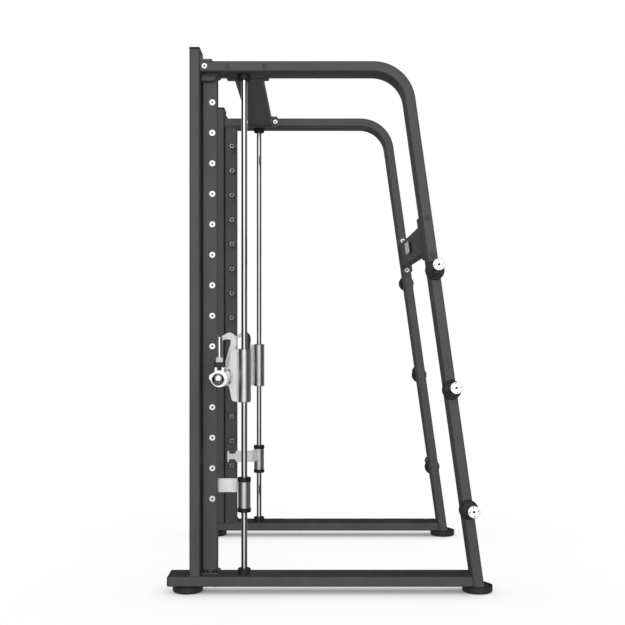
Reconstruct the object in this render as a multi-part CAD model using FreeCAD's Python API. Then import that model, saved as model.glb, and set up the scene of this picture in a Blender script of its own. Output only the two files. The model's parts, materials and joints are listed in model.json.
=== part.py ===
"""Smith machine: two bent-tube side frames, guide rods, carriage, hooked bar and safety stops.

Row frame: X across the machine (+X is the right side frame), Y from the back uprights
towards the sloping legs, Z up. The origin is on the floor under the middle of the machine.
Every right-hand piece is drawn once and the left-hand one is its mirror image in X = 0.
"""
import FreeCAD, Part
import math
import os

V = FreeCAD.Vector
ACROSS = V(1, 0, 0)
FORWARD = V(0, 1, 0)
UP = V(0, 0, 1)
ORIGIN = V(0, 0, 0)

# ---------------------------------------------------------------- driving dimensions, mm
FRAME_HALF_WIDTH = 644.0        # middle of the machine to the outer face of a side frame
TUBE_WIDTH = 130.0              # flat tube, measured across the machine
TUBE_DEPTH = 43.0               # flat tube, measured through its thin side
TUBE_WALL = 3.0
TUBE_CORNER = 6.5

REAR_END_Y = -667.0             # rear end of the base beams
BACK_UPRIGHT_REAR_Y = -581.0
UPRIGHT_TOP_Z = 2239.0
BEAM_UNDERSIDE_Z = 33.0         # base beam above the floor
BEAM_HEIGHT = 42.0
ARCH_TOP_Z = 2190.5             # upper face of the top beam
BEND_START_Y = 174.5            # where the top beam starts to curve down
BEND_OUTER_RADIUS = 174.0
LEG_LEAN_DEG = 8.03             # leg from the vertical

PEG_UPRIGHT_SIZE = 60.0
PEG_UPRIGHT_FRONT_Y = -473.0
PEG_UPRIGHT_CORNER = 4.0
PEG_RADIUS = 11.0
PEG_COUNT = 14
PEG_PITCH = 127.0
PEG_TOP_Z = 2035.0              # highest peg
PEG_Y = -493.0
PEG_REACH = 60.0                # peg past the inner face of its upright
PEG_HEAD_RADIUS = 12.0
PEG_HEAD_PROUD = 1.5
PEG_SOCKET_RADIUS = 5.0         # socket in the outer head
PEG_SOCKET_DEPTH = 12.0
PEG_BORE_RADIUS = 8.0           # bore in the free end
PEG_BORE_DEPTH = 55.0
PEG_BEVEL = 1.2

ROD_Y = -359.5
ROD_X = 579.0
ROD_RADIUS = 12.5
SOCKET_RADIUS = 27.0
SOCKET_HEIGHT = 21.0

BAR_Y = -445.0
BAR_Z = 894.0
BAR_RADIUS = 15.0
BAR_HALF_LENGTH = 832.0
RUNNING_GAP = 0.06              # radial, between a shaft and the bush it runs in
HOLE_GAP = 0.3                  # radial, round pieces that are only held in a hole

HOUSING_RADIUS = 28.0
HOUSING_HEIGHT = 218.0
HOUSING_CENTRE_Z = 897.5
LINER_RADIUS = 18.0
LINER_LENGTH = 62.0
LINER_LIP = 2.0

CARRIAGE_PLATE_X = 578.0        # inner face; it clears the pegs' outer heads
CARRIAGE_PLATE_THICKNESS = 10.0
PLATE_NOSE_RADIUS = 36.0

BEARING_BODY_RADIUS = 27.0
BEARING_FLANGE_RADIUS = 41.0
BEARING_FLANGE_THICKNESS = 9.0
BEARING_NOSE = 9.0              # boss in front of the flange
BEARING_BOLT_CIRCLE = 34.0      # radius
BEARING_BOLT_RADIUS = 3.0

HOOK_INNER_X = 478.0
HOOK_THICKNESS = 14.0
HOOK_COVER_THICKNESS = 9.0
HOOK_HUB_RADIUS = 29.0
HOOK_HUB_LENGTH = 34.0
HOOK_REST_TURN_DEG = 23.0       # hooks lie this far forward of the pegs as the machine is stored
HOOK_LIFT = 6.0                 # bar above its hooked height as the machine is stored
HOOK_SEAT_GAP = 2.4
HOOK_LIP = 3.5                  # how far the tip drops below the seat

SLEEVE_RADIUS = 25.0
SLEEVE_BORE = 20.0              # radius
SLEEVE_START_X = 608.0
SLEEVE_END_X = 836.0
SLEEVE_FLANGE_RADIUS = 35.0
SLEEVE_FLANGE_LENGTH = 14.0
SLEEVE_CAP_RADIUS = 24.0
SLEEVE_CAP_RIM = 1.5
SLEEVE_DOME_HEIGHT = 8.0
SLEEVE_BUSH_LENGTH = 40.0

LOCK_X = 752.0                  # inner face of the plate lock on its sleeve
LOCK_WIDTH = 36.0
LOCK_RING_RADIUS = 33.0
LOCK_SLIDE_GAP = 0.1
LOCK_STEM_RADIUS = 7.0
LOCK_BLOCK_LOW = 45.0           # above the bar's axis
LOCK_BLOCK_HEIGHT = 21.0
LOCK_BLOCK_LENGTH = 44.0
LOCK_BLOCK_WIDTH = 22.0
LOCK_NUT_HEIGHT = 18.0
LOCK_NUT_RADIUS = 15.0
LOCK_GRIP_RADIUS = 11.5
LOCK_GRIP_TOP = 168.0
LOCK_EAR_WIDTH = 8.0
LOCK_EAR_OFFSET = 10.0

STOP_BOTTOM_Z = 330.0
STOP_HEIGHT = 144.0
STOP_RADIUS = 26.0
STOP_RING_RADIUS = 28.0
STOP_RING_HEIGHT = 18.0
STOP_PLATE_THICKNESS = 9.0
STOP_PLATE_HEIGHT = 58.0
STOP_PLATE_BOTTOM_Z = 397.5     # the plate waits just above its peg
STOP_CROSS_X = 484.0            # where the stop's plate crosses its peg
STOP_BEND_Y = -396.0
STOP_BEND_RADIUS = 4.0
STOP_TIP = 26.0                 # plate past the peg
STOP_NOTCH_DEPTH = 15.0
STOP_NOTCH_SEAT = 31.0
STOP_NOTCH_MOUTH = 38.0

CROSS_WIDTH = 120.0             # cross tubes, wide side
CROSS_DEPTH = 42.0
TOP_CROSS_Y = -348.0
FRONT_CROSS_Z = 1472.0
CROSS_PLATE_LENGTH = 178.0
CROSS_PLATE_HEIGHT = 58.0
CROSS_PLATE_THICKNESS = 10.0
CROSS_BOLT_SPACING = 154.0

FOOT_RADIUS = 63.0
FOOT_RIM_Z = 27.0
FOOT_PAD_RADIUS = 47.0
FOOT_DISH_RADIUS = 57.0
FOOT_DISH_DEPTH = 6.0
FOOT_EDGE = 9.0
REAR_FOOT_Y = -594.0
FRONT_FOOT_Y = 610.0

STORAGE_HEIGHTS = (1331.0, 842.0, 351.0)
STORAGE_TILT_DEG = 6.2
STORAGE_DISC_RADIUS = 40.0
STORAGE_DISC_THICKNESS = 12.0
STORAGE_HUB_RADIUS = 31.0
STORAGE_HUB_LENGTH = 20.0       # along the tilted axis, from the leg's face
STORAGE_ROOT_RADIUS = 21.0
STORAGE_TUBE_RADIUS = 24.5
STORAGE_TUBE_LENGTH = 124.0
STORAGE_CAP_LENGTH = 6.0

BOLT_RADIUS = 6.0
BOLT_HEAD_RADIUS = 9.5
BOLT_HEAD_HEIGHT = 7.0
WASHER_RADIUS = 11.5
NUT_LENGTH = 9.0
BOLT_TAIL = 3.0                 # shank past its nut
WASHER_THICKNESS = 2.0
FLANGE_LENGTH = 74.0
FLANGE_THICKNESS = 6.0
FLANGE_LEDGE = 26.0             # flange past the outer face of the peg upright
PLUG_RADIUS = 11.5
PLUG_PROUD = 1.5
PLUG_DEPTH = 8.0
SIDE_HEAD_OFFSET = 20.0         # bolt head in front of the back upright
SIDE_HEAD_PROUD = 4.0
SIDE_HEAD_RADIUS = 10.5
CAP_THICKNESS = 6.0
CAP_OVERHANG = 1.5              # cap of an upright, wider than its tube
CAP_PLUG_LENGTH = 22.0

NAMEPLATE_WIDTH = 158.0
NAMEPLATE_HEIGHT = 52.0
NAMEPLATE_THICKNESS = 3.0
NAMEPLATE_BRACKET_DEPTH = 12.0
NAMEPLATE_BRACKET_WIDTH = 110.0
NAMEPLATE_BRACKET_HEIGHT = 34.0
NAMEPLATE_ABOVE_CENTRE = 5.0

# ---------------------------------------------------------------- worked out from those
FRAME_IN_X = FRAME_HALF_WIDTH - TUBE_WIDTH
FRAME_MID_X = FRAME_HALF_WIDTH - TUBE_WIDTH / 2
BACK_UPRIGHT_FRONT_Y = BACK_UPRIGHT_REAR_Y + TUBE_DEPTH
BEAM_TOP_Z = BEAM_UNDERSIDE_Z + BEAM_HEIGHT
ARCH_UNDERSIDE_Z = ARCH_TOP_Z - TUBE_DEPTH
PEG_HEIGHTS = [PEG_TOP_Z - PEG_PITCH * step for step in range(PEG_COUNT)]
PEG_UPRIGHT_OUT_X = FRAME_IN_X + PEG_UPRIGHT_SIZE
PEG_END_X = FRAME_IN_X - PEG_REACH
PEG_UPRIGHT_Y = PEG_UPRIGHT_FRONT_Y - PEG_UPRIGHT_SIZE / 2
LEAN = math.radians(LEG_LEAN_DEG)
LEG_DOWN = V(0, math.sin(LEAN), -math.cos(LEAN))
LEG_REAR = V(0, -math.cos(LEAN), -math.sin(LEAN))
GUSSET_LENGTH = 50.0
GUSSET_HEIGHT = 24.0
GUSSET_WIDTH = 60.0
GUSSET_THICKNESS = 9.0
GUSSET_INSET = 6.0              # from the outer face of the side tube
GUSSET_BOLT_Y = BACK_UPRIGHT_FRONT_Y + 30.0
FLANGE_BOLT_X = PEG_UPRIGHT_OUT_X + FLANGE_LEDGE / 2 + 1.0
FLANGE_BOLT_SPREAD = 40.0
SADDLE_HEIGHT = 23.0
SADDLE_DEPTH = 20.0
SADDLE_REAR_CORNER = 6.0
SADDLE_FRONT_CORNER = 21.0
SADDLE_EDGE = 5.0
FLANGE_REAR_Y = PEG_UPRIGHT_FRONT_Y - PEG_UPRIGHT_SIZE - 3.0
BEND_RADIUS = BEND_OUTER_RADIUS - TUBE_DEPTH / 2
BEND_CENTRE = V(0, BEND_START_Y, ARCH_TOP_Z - BEND_OUTER_RADIUS)
LEG_TOP = BEND_CENTRE - LEG_REAR * BEND_RADIUS


def leg_centre(height):
    """Point on the middle line of a leg at a height, in the middle plane of the machine."""
    along = (LEG_TOP.z - height) / math.cos(LEAN)
    return LEG_TOP + LEG_DOWN * along


# ---------------------------------------------------------------- shape helpers
def box(low, high):
    """A box from its lowest corner to its highest."""
    size = V(*high) - V(*low)
    return Part.makeBox(size.x, size.y, size.z, V(*low))


def rod(start, direction, length, radius):
    """A round bar."""
    return Part.makeCylinder(radius, length, start, direction)


def ring(start, direction, length, outer, inner):
    """A round bar with a through bore."""
    return rod(start, direction, length, outer).cut(rod(start, direction, length, inner))


def rounded_face(centre, u_dir, v_dir, u_size, v_size, radius):
    """A rectangle with rounded corners in the plane of two directions."""
    half_u = u_size / 2
    half_v = v_size / 2
    bulge = radius * (1 - math.sqrt(0.5))

    def at(u, v):
        return centre + u_dir * u + v_dir * v

    arcs = []
    for u_sign, v_sign in ((1, 1), (-1, 1), (-1, -1), (1, -1)):
        on_side = at(u_sign * half_u, v_sign * (half_v - radius))
        on_top = at(u_sign * (half_u - radius), v_sign * half_v)
        middle = at(u_sign * (half_u - bulge), v_sign * (half_v - bulge))
        ends = (on_side, on_top) if u_sign * v_sign > 0 else (on_top, on_side)
        arcs.append((ends[0], middle, ends[1]))
    edges = []
    for index, (start, middle, end) in enumerate(arcs):
        edges.append(Part.Arc(start, middle, end).toShape())
        edges.append(Part.makeLine(end, arcs[(index + 1) % len(arcs)][0]))
    return Part.Face(Part.Wire(edges))


def tube_section(centre, u_dir, v_dir, u_size, v_size, corner, wall=TUBE_WALL):
    """The hollow section of a tube as one face."""
    outer = rounded_face(centre, u_dir, v_dir, u_size, v_size, corner)
    inner = rounded_face(centre, u_dir, v_dir, u_size - 2 * wall, v_size - 2 * wall, corner - wall)
    return outer.cut(inner).Faces[0]


def plug(centre, u_dir, v_dir, u_size, v_size, corner, length, into):
    """The part of an end cap that sits inside a tube, a little smaller than its bore."""
    play = 2 * (TUBE_WALL + HOLE_GAP)
    face = rounded_face(centre, u_dir, v_dir, u_size - play, v_size - play, corner - TUBE_WALL)
    return face.extrude(into * length)


def outline(points, radii, plane_x, thickness):
    """A flat plate across X from a closed outline of (y, z) points with rounded corners."""
    count = len(points)
    starts = []
    for index in range(count):
        corner = V(plane_x, *points[index])
        to_last = V(plane_x, *points[index - 1]) - corner
        to_next = V(plane_x, *points[(index + 1) % count]) - corner
        radius = radii[index]
        if radius == 0:
            starts.append((corner, None, corner))
            continue
        half_turn = to_last.getAngle(to_next) / 2
        setback = radius / math.tan(half_turn)
        to_last.normalize()
        to_next.normalize()
        middle_dir = to_last + to_next
        middle_dir.normalize()
        middle = corner + middle_dir * (radius / math.sin(half_turn) - radius)
        starts.append((corner + to_last * setback, middle, corner + to_next * setback))
    edges = []
    for index, (start, middle, end) in enumerate(starts):
        if middle is not None:
            edges.append(Part.Arc(start, middle, end).toShape())
        following = starts[(index + 1) % count][0]
        edges.append(Part.makeLine(end, following))
    return Part.Face(Part.Wire(edges)).extrude(ACROSS * thickness)


def hexagon(start, direction, across_corners, length):
    """A hexagonal prism, such as a nut or a bolt's head."""
    side = direction.cross(UP if abs(direction.z) < 0.9 else ACROSS)
    side.normalize()
    points = []
    for corner in range(7):
        turn = FreeCAD.Rotation(direction, 60.0 * corner)
        points.append(start + turn.multVec(side) * across_corners)
    face = Part.Face(Part.makePolygon(points))
    return face.extrude(direction * length)


def bolt(seat, outwards, shank):
    """A hexagon bolt with its washer: the washer lies on the seat and the shank goes in."""
    solid = rod(seat, outwards, WASHER_THICKNESS, WASHER_RADIUS)
    solid = solid.fuse(hexagon(seat + outwards * WASHER_THICKNESS, outwards, BOLT_HEAD_RADIUS,
                               BOLT_HEAD_HEIGHT))
    return solid.fuse(rod(seat - outwards * shank, outwards, shank, BOLT_RADIUS)).removeSplitter()


def drilled(shape, seat, inwards, depth, radius=BOLT_RADIUS + HOLE_GAP):
    """The shape with a round hole from a seat inwards."""
    return shape.cut(rod(seat - inwards, inwards, depth + 1, radius))


def mirrored(shape):
    """The left-hand copy of a right-hand shape."""
    return shape.mirror(ORIGIN, ACROSS)


def both(shape):
    """A right-hand shape and its mirror image as separate solids of one group."""
    return Part.makeCompound(shape.Solids + mirrored(shape).Solids)


def group(shapes):
    """Separate solids that share one node."""
    solids = []
    for shape in shapes:
        solids.extend(shape.Solids)
    return Part.makeCompound(solids)


# ---------------------------------------------------------------- bolt places, right side
def top_cross_seats():
    """Where the bolts of the top cross tube meet its end plate."""
    middle = V(FRAME_IN_X - CROSS_PLATE_THICKNESS, TOP_CROSS_Y, ARCH_TOP_Z - TUBE_DEPTH / 2)
    return [middle + FORWARD * (side * CROSS_BOLT_SPACING / 2) for side in (-1, 1)]


def front_cross_seats():
    """Where the bolts of the front cross tube meet its end plate."""
    middle = leg_centre(FRONT_CROSS_Z) + ACROSS * (FRAME_IN_X - CROSS_PLATE_THICKNESS)
    return [middle + LEG_DOWN * (side * CROSS_BOLT_SPACING / 2) for side in (-1, 1)]


def flange_bolt_places():
    """X and Y of the bolts that hold a peg upright's end flange."""
    middle = FLANGE_REAR_Y + FLANGE_LENGTH / 2
    return [(FLANGE_BOLT_X, middle + side * FLANGE_BOLT_SPREAD / 2) for side in (-1, 1)]


# ---------------------------------------------------------------- side frames
def base_beam():
    """Flat tube along the floor, cut off along the rear face of the leg."""
    middle = V(FRAME_MID_X, REAR_END_Y, BEAM_UNDERSIDE_Z + BEAM_HEIGHT / 2)
    beam = tube_section(middle, ACROSS, UP, TUBE_WIDTH, BEAM_HEIGHT, TUBE_CORNER)
    beam = beam.extrude(FORWARD * (leg_centre(0).y - REAR_END_Y))
    foot = leg_centre(0) + LEG_REAR * (TUBE_DEPTH / 2)
    knee = leg_centre(2 * BEAM_TOP_Z) + LEG_REAR * (TUBE_DEPTH / 2)
    beyond = 3 * TUBE_DEPTH
    corners = [foot, knee, knee + FORWARD * beyond, foot + FORWARD * beyond, foot]
    cutter = Part.Face(Part.makePolygon(corners)).extrude(ACROSS * (2 * FRAME_HALF_WIDTH))
    beam = beam.cut(cutter)
    for x, y in flange_bolt_places():
        beam = drilled(beam, V(x, y, BEAM_TOP_Z), -UP, BEAM_HEIGHT)
    return beam


def base_end_cap():
    """Plastic cap with bevelled edges in the rear end of a base beam."""
    middle = V(FRAME_MID_X, REAR_END_Y, BEAM_UNDERSIDE_Z + BEAM_HEIGHT / 2)
    cap = rounded_face(middle, ACROSS, UP, TUBE_WIDTH, BEAM_HEIGHT, TUBE_CORNER)
    cap = cap.extrude(-FORWARD * CAP_THICKNESS)
    outer_y = REAR_END_Y - CAP_THICKNESS
    rim = [e for e in cap.Edges if abs(e.CenterOfMass.y - outer_y) < 0.01]
    cap = cap.makeChamfer(CAP_THICKNESS * 0.6, rim)
    inside = plug(middle, ACROSS, UP, TUBE_WIDTH, BEAM_HEIGHT, TUBE_CORNER, CAP_PLUG_LENGTH, FORWARD)
    return cap.fuse(inside)


def back_upright():
    """Flat tube that stands on the base beam."""
    middle = V(FRAME_MID_X, BACK_UPRIGHT_REAR_Y + TUBE_DEPTH / 2, BEAM_TOP_Z)
    section = tube_section(middle, ACROSS, FORWARD, TUBE_WIDTH, TUBE_DEPTH, TUBE_CORNER)
    return section.extrude(UP * (UPRIGHT_TOP_Z - BEAM_TOP_Z))


def upright_cap():
    """Rounded plastic cap on top of a back upright."""
    middle = V(FRAME_MID_X, BACK_UPRIGHT_REAR_Y + TUBE_DEPTH / 2, UPRIGHT_TOP_Z)
    height = CAP_THICKNESS + 3.0
    cap = rounded_face(middle, ACROSS, FORWARD, TUBE_WIDTH + CAP_OVERHANG, TUBE_DEPTH + CAP_OVERHANG,
                       TUBE_CORNER)
    cap = cap.extrude(UP * height)
    rim = [e for e in cap.Edges if abs(e.CenterOfMass.z - UPRIGHT_TOP_Z - height) < 0.01]
    cap = cap.makeFillet(height * 0.4, rim)
    inside = plug(middle, ACROSS, FORWARD, TUBE_WIDTH, TUBE_DEPTH, TUBE_CORNER, CAP_PLUG_LENGTH, -UP)
    return cap.fuse(inside)


def arch():
    """Top beam, bend and sloping leg: one flat tube bent once."""
    start = V(FRAME_MID_X, BACK_UPRIGHT_FRONT_Y, ARCH_TOP_Z - TUBE_DEPTH / 2)
    section = tube_section(start, ACROSS, UP, TUBE_WIDTH, TUBE_DEPTH, TUBE_CORNER)
    run = V(0, BEND_START_Y - BACK_UPRIGHT_FRONT_Y, 0)
    beam = section.extrude(run)
    at_bend = section.translated(run)
    turn = 90.0 - LEG_LEAN_DEG
    bend = at_bend.revolve(BEND_CENTRE, -ACROSS, turn)
    leg_start = at_bend.rotated(BEND_CENTRE, -ACROSS, turn)
    leg = leg_start.extrude(LEG_DOWN * (LEG_TOP.z / math.cos(LEAN)))
    below = box((0, 0, -FOOT_RADIUS), (FRAME_HALF_WIDTH + 1, 2 * FRONT_FOOT_Y, BEAM_UNDERSIDE_Z))
    tube = beam.fuse([bend, leg]).cut(below).removeSplitter()
    for seat in top_cross_seats() + front_cross_seats():
        tube = drilled(tube, seat, ACROSS, TUBE_WIDTH + 2 * CROSS_PLATE_THICKNESS)
    return drilled(tube, gusset_seat(), -UP, GUSSET_THICKNESS + TUBE_WALL * 2)


def gusset_seat():
    """Middle of the gusset's bolt, on the gusset's upper face."""
    x = FRAME_HALF_WIDTH - GUSSET_INSET - GUSSET_WIDTH / 2
    return V(x, GUSSET_BOLT_Y, ARCH_TOP_Z + GUSSET_THICKNESS)


def top_gusset():
    """Angle bracket between the top beam and the back upright."""
    x0 = FRAME_HALF_WIDTH - GUSSET_INSET - GUSSET_WIDTH
    y0 = BACK_UPRIGHT_FRONT_Y
    points = [(y0, ARCH_TOP_Z), (y0 + GUSSET_LENGTH, ARCH_TOP_Z),
              (y0 + GUSSET_LENGTH, ARCH_TOP_Z + GUSSET_THICKNESS),
              (y0 + GUSSET_THICKNESS, ARCH_TOP_Z + GUSSET_THICKNESS),
              (y0 + GUSSET_THICKNESS, ARCH_TOP_Z + GUSSET_HEIGHT), (y0, ARCH_TOP_Z + GUSSET_HEIGHT)]
    bracket = outline(points, [0, 2, 2, 6, 2, 0], x0, GUSSET_WIDTH)
    return drilled(bracket, gusset_seat(), -UP, GUSSET_THICKNESS)


# ---------------------------------------------------------------- peg uprights
def peg_upright():
    """Square tube with the pegs' holes, between its two end flanges."""
    bottom = BEAM_TOP_Z + FLANGE_THICKNESS
    middle = V(FRAME_IN_X + PEG_UPRIGHT_SIZE / 2, PEG_UPRIGHT_Y, bottom)
    section = tube_section(middle, ACROSS, FORWARD, PEG_UPRIGHT_SIZE, PEG_UPRIGHT_SIZE,
                           PEG_UPRIGHT_CORNER)
    tube = section.extrude(UP * (ARCH_UNDERSIDE_Z - FLANGE_THICKNESS - bottom))
    for height in PEG_HEIGHTS:
        seat = V(FRAME_IN_X, PEG_Y, height)
        tube = drilled(tube, seat, ACROSS, PEG_UPRIGHT_SIZE + 1, PEG_RADIUS + HOLE_GAP)
    return tube


def flange_plate(bottom):
    """Plate at an end of a peg upright, wider than the tube on its outer side."""
    middle = V(FRAME_IN_X + (PEG_UPRIGHT_SIZE + FLANGE_LEDGE) / 2,
               FLANGE_REAR_Y + FLANGE_LENGTH / 2, bottom)
    plate = rounded_face(middle, ACROSS, FORWARD, PEG_UPRIGHT_SIZE + FLANGE_LEDGE, FLANGE_LENGTH,
                         TUBE_CORNER)
    return plate.extrude(UP * FLANGE_THICKNESS)


def peg_upright_flanges():
    """Bolted plate at the foot of a peg upright; welded plate with a rounded saddle at its head."""
    foot_plate = flange_plate(BEAM_TOP_Z)
    for x, y in flange_bolt_places():
        foot_plate = drilled(foot_plate, V(x, y, BEAM_TOP_Z + FLANGE_THICKNESS), -UP, FLANGE_THICKNESS)
    plate_z = ARCH_UNDERSIDE_Z - FLANGE_THICKNESS
    rear = BACK_UPRIGHT_FRONT_Y
    front = PEG_UPRIGHT_FRONT_Y
    points = [(rear, plate_z), (rear, plate_z - SADDLE_HEIGHT), (front, plate_z - SADDLE_HEIGHT),
              (front, plate_z)]
    radii = [0, SADDLE_REAR_CORNER, SADDLE_FRONT_CORNER, 0]
    saddle = outline(points, radii, PEG_UPRIGHT_OUT_X, SADDLE_DEPTH)
    outer_x = PEG_UPRIGHT_OUT_X + SADDLE_DEPTH
    lip = [e for e in saddle.Edges if abs(e.BoundBox.XMin - outer_x) < 0.01
           and e.CenterOfMass.z < plate_z - 0.01]
    saddle = saddle.makeFillet(SADDLE_EDGE, lip)
    return group([foot_plate, flange_plate(plate_z).fuse(saddle).removeSplitter()])


def rack_peg(height):
    """One peg: head outside, shank through the upright, and the end that carries a hook."""
    length = PEG_UPRIGHT_OUT_X - PEG_END_X
    start = V(PEG_END_X, PEG_Y, height)
    peg = rod(start, ACROSS, length, PEG_RADIUS)
    free_end = [e for e in peg.Edges if abs(e.CenterOfMass.x - PEG_END_X) < 0.01]
    peg = peg.makeChamfer(PEG_BEVEL, free_end)
    head = rod(V(PEG_UPRIGHT_OUT_X, PEG_Y, height), ACROSS, PEG_HEAD_PROUD, PEG_HEAD_RADIUS)
    peg = peg.fuse(head)
    outer = V(PEG_UPRIGHT_OUT_X + PEG_HEAD_PROUD, PEG_Y, height)
    peg = peg.cut(hexagon(outer, -ACROSS, PEG_SOCKET_RADIUS, PEG_SOCKET_DEPTH))
    return peg.cut(rod(start, ACROSS, PEG_BORE_DEPTH, PEG_BORE_RADIUS))


# ---------------------------------------------------------------- guide rods
def guide_rod():
    """Polished rod from the base beam to the underside of the top beam."""
    start = V(ROD_X, ROD_Y, BEAM_TOP_Z)
    return rod(start, UP, ARCH_UNDERSIDE_Z - BEAM_TOP_Z, ROD_RADIUS)


def rod_sockets():
    """Collars that hold a guide rod at its two ends."""
    shapes = []
    for start, direction in ((BEAM_TOP_Z, UP), (ARCH_UNDERSIDE_Z, -UP)):
        at = V(ROD_X, ROD_Y, start)
        collar = ring(at, direction, SOCKET_HEIGHT, SOCKET_RADIUS, ROD_RADIUS + HOLE_GAP)
        lip_z = start + direction.z * SOCKET_HEIGHT
        lip = [e for e in collar.Edges
               if abs(e.CenterOfMass.z - lip_z) < 0.01 and e.Curve.Radius > SOCKET_RADIUS - 1]
        shapes.append(collar.makeChamfer(2.0, lip))
    return group(shapes)


# ---------------------------------------------------------------- cross tubes
def cross_tube(centre, wide_dir, thin_dir):
    """A flat tube between the end plates on the two side frames."""
    reach = FRAME_IN_X - CROSS_PLATE_THICKNESS
    middle = V(-reach, centre.y, centre.z)
    section = tube_section(middle, wide_dir, thin_dir, CROSS_WIDTH, CROSS_DEPTH, TUBE_CORNER)
    return section.extrude(ACROSS * (2 * reach))


def cross_plate(centre, wide_dir, thin_dir, seats):
    """End plate of a cross tube, bolted to the inner face of a side frame."""
    middle = V(FRAME_IN_X - CROSS_PLATE_THICKNESS, centre.y, centre.z)
    plate = rounded_face(middle, wide_dir, thin_dir, CROSS_PLATE_LENGTH, CROSS_PLATE_HEIGHT, TUBE_CORNER)
    plate = plate.extrude(ACROSS * CROSS_PLATE_THICKNESS)
    for seat in seats:
        plate = drilled(plate, seat, ACROSS, CROSS_PLATE_THICKNESS)
    return plate


def cross_bolt(seat):
    """Bolt through an end plate and almost the whole side tube."""
    return bolt(seat, -ACROSS, CROSS_PLATE_THICKNESS + TUBE_WIDTH - PLUG_DEPTH)


def bolt_plug(seat):
    """Black plug that closes a bolt's hole in the outer face of a side tube."""
    outside = seat + ACROSS * (CROSS_PLATE_THICKNESS + TUBE_WIDTH)
    head = rod(outside, ACROSS, PLUG_PROUD, PLUG_RADIUS)
    rim = [e for e in head.Edges if abs(e.CenterOfMass.x - outside.x - PLUG_PROUD) < 0.01]
    head = head.makeChamfer(PLUG_PROUD * 0.6, rim)
    return head.fuse(rod(outside, -ACROSS, PLUG_DEPTH - 1.0, BOLT_RADIUS))


def nameplate_parts():
    """The blank plate on the front cross tube, and the bracket behind it."""
    middle = leg_centre(FRONT_CROSS_Z + NAMEPLATE_ABOVE_CENTRE) + LEG_REAR * (CROSS_DEPTH / 2)
    bracket = rounded_face(middle, ACROSS, LEG_DOWN, NAMEPLATE_BRACKET_WIDTH,
                           NAMEPLATE_BRACKET_HEIGHT, 4.0)
    bracket = bracket.extrude(LEG_REAR * NAMEPLATE_BRACKET_DEPTH)
    front = middle + LEG_REAR * NAMEPLATE_BRACKET_DEPTH
    plate = rounded_face(front, ACROSS, LEG_DOWN, NAMEPLATE_WIDTH, NAMEPLATE_HEIGHT, 5.0)
    return plate.extrude(LEG_REAR * NAMEPLATE_THICKNESS), bracket


# ---------------------------------------------------------------- fasteners of the frame
def flange_bolts():
    """Bolts of the peg upright's foot plate, through the base beam to their nuts."""
    shapes = []
    for x, y in flange_bolt_places():
        seat = V(x, y, BEAM_TOP_Z + FLANGE_THICKNESS)
        shank = FLANGE_THICKNESS + BEAM_HEIGHT + NUT_LENGTH + BOLT_TAIL
        nut = hexagon(V(x, y, BEAM_UNDERSIDE_Z), -UP, BOLT_HEAD_RADIUS, NUT_LENGTH)
        shapes.append(bolt(seat, UP, shank).fuse(nut))
    return group(shapes)


def bright_bolts():
    """Bolts of the cross tubes and of the gusset, and the bolt head at the top beam's rear end."""
    shapes = [cross_bolt(seat) for seat in top_cross_seats() + front_cross_seats()]
    shapes.append(bolt(gusset_seat(), UP, GUSSET_THICKNESS + TUBE_WALL * 2))
    side_seat = V(FRAME_HALF_WIDTH, BACK_UPRIGHT_FRONT_Y + SIDE_HEAD_OFFSET,
                  ARCH_TOP_Z - TUBE_DEPTH / 2)
    head = rod(side_seat, ACROSS, SIDE_HEAD_PROUD, SIDE_HEAD_RADIUS)
    outer = side_seat + ACROSS * SIDE_HEAD_PROUD
    shapes.append(head.cut(hexagon(outer, -ACROSS, PEG_SOCKET_RADIUS, SIDE_HEAD_PROUD - 1.0)))
    return group(shapes)


def foot(y):
    """Rubber levelling foot with a dished top round its pad."""
    low = V(FRAME_MID_X, y, 0)
    disc = rod(low, UP, FOOT_RIM_Z, FOOT_RADIUS)
    lower_edge = [e for e in disc.Edges if abs(e.CenterOfMass.z) < 0.01]
    disc = disc.makeFillet(FOOT_EDGE, lower_edge)
    dish_z = FOOT_RIM_Z - FOOT_DISH_DEPTH
    disc = disc.cut(rod(V(FRAME_MID_X, y, dish_z), UP, FOOT_RIM_Z, FOOT_DISH_RADIUS))
    pad = rod(V(FRAME_MID_X, y, dish_z), UP, BEAM_UNDERSIDE_Z - dish_z, FOOT_PAD_RADIUS)
    return disc.fuse(pad).removeSplitter()


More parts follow.
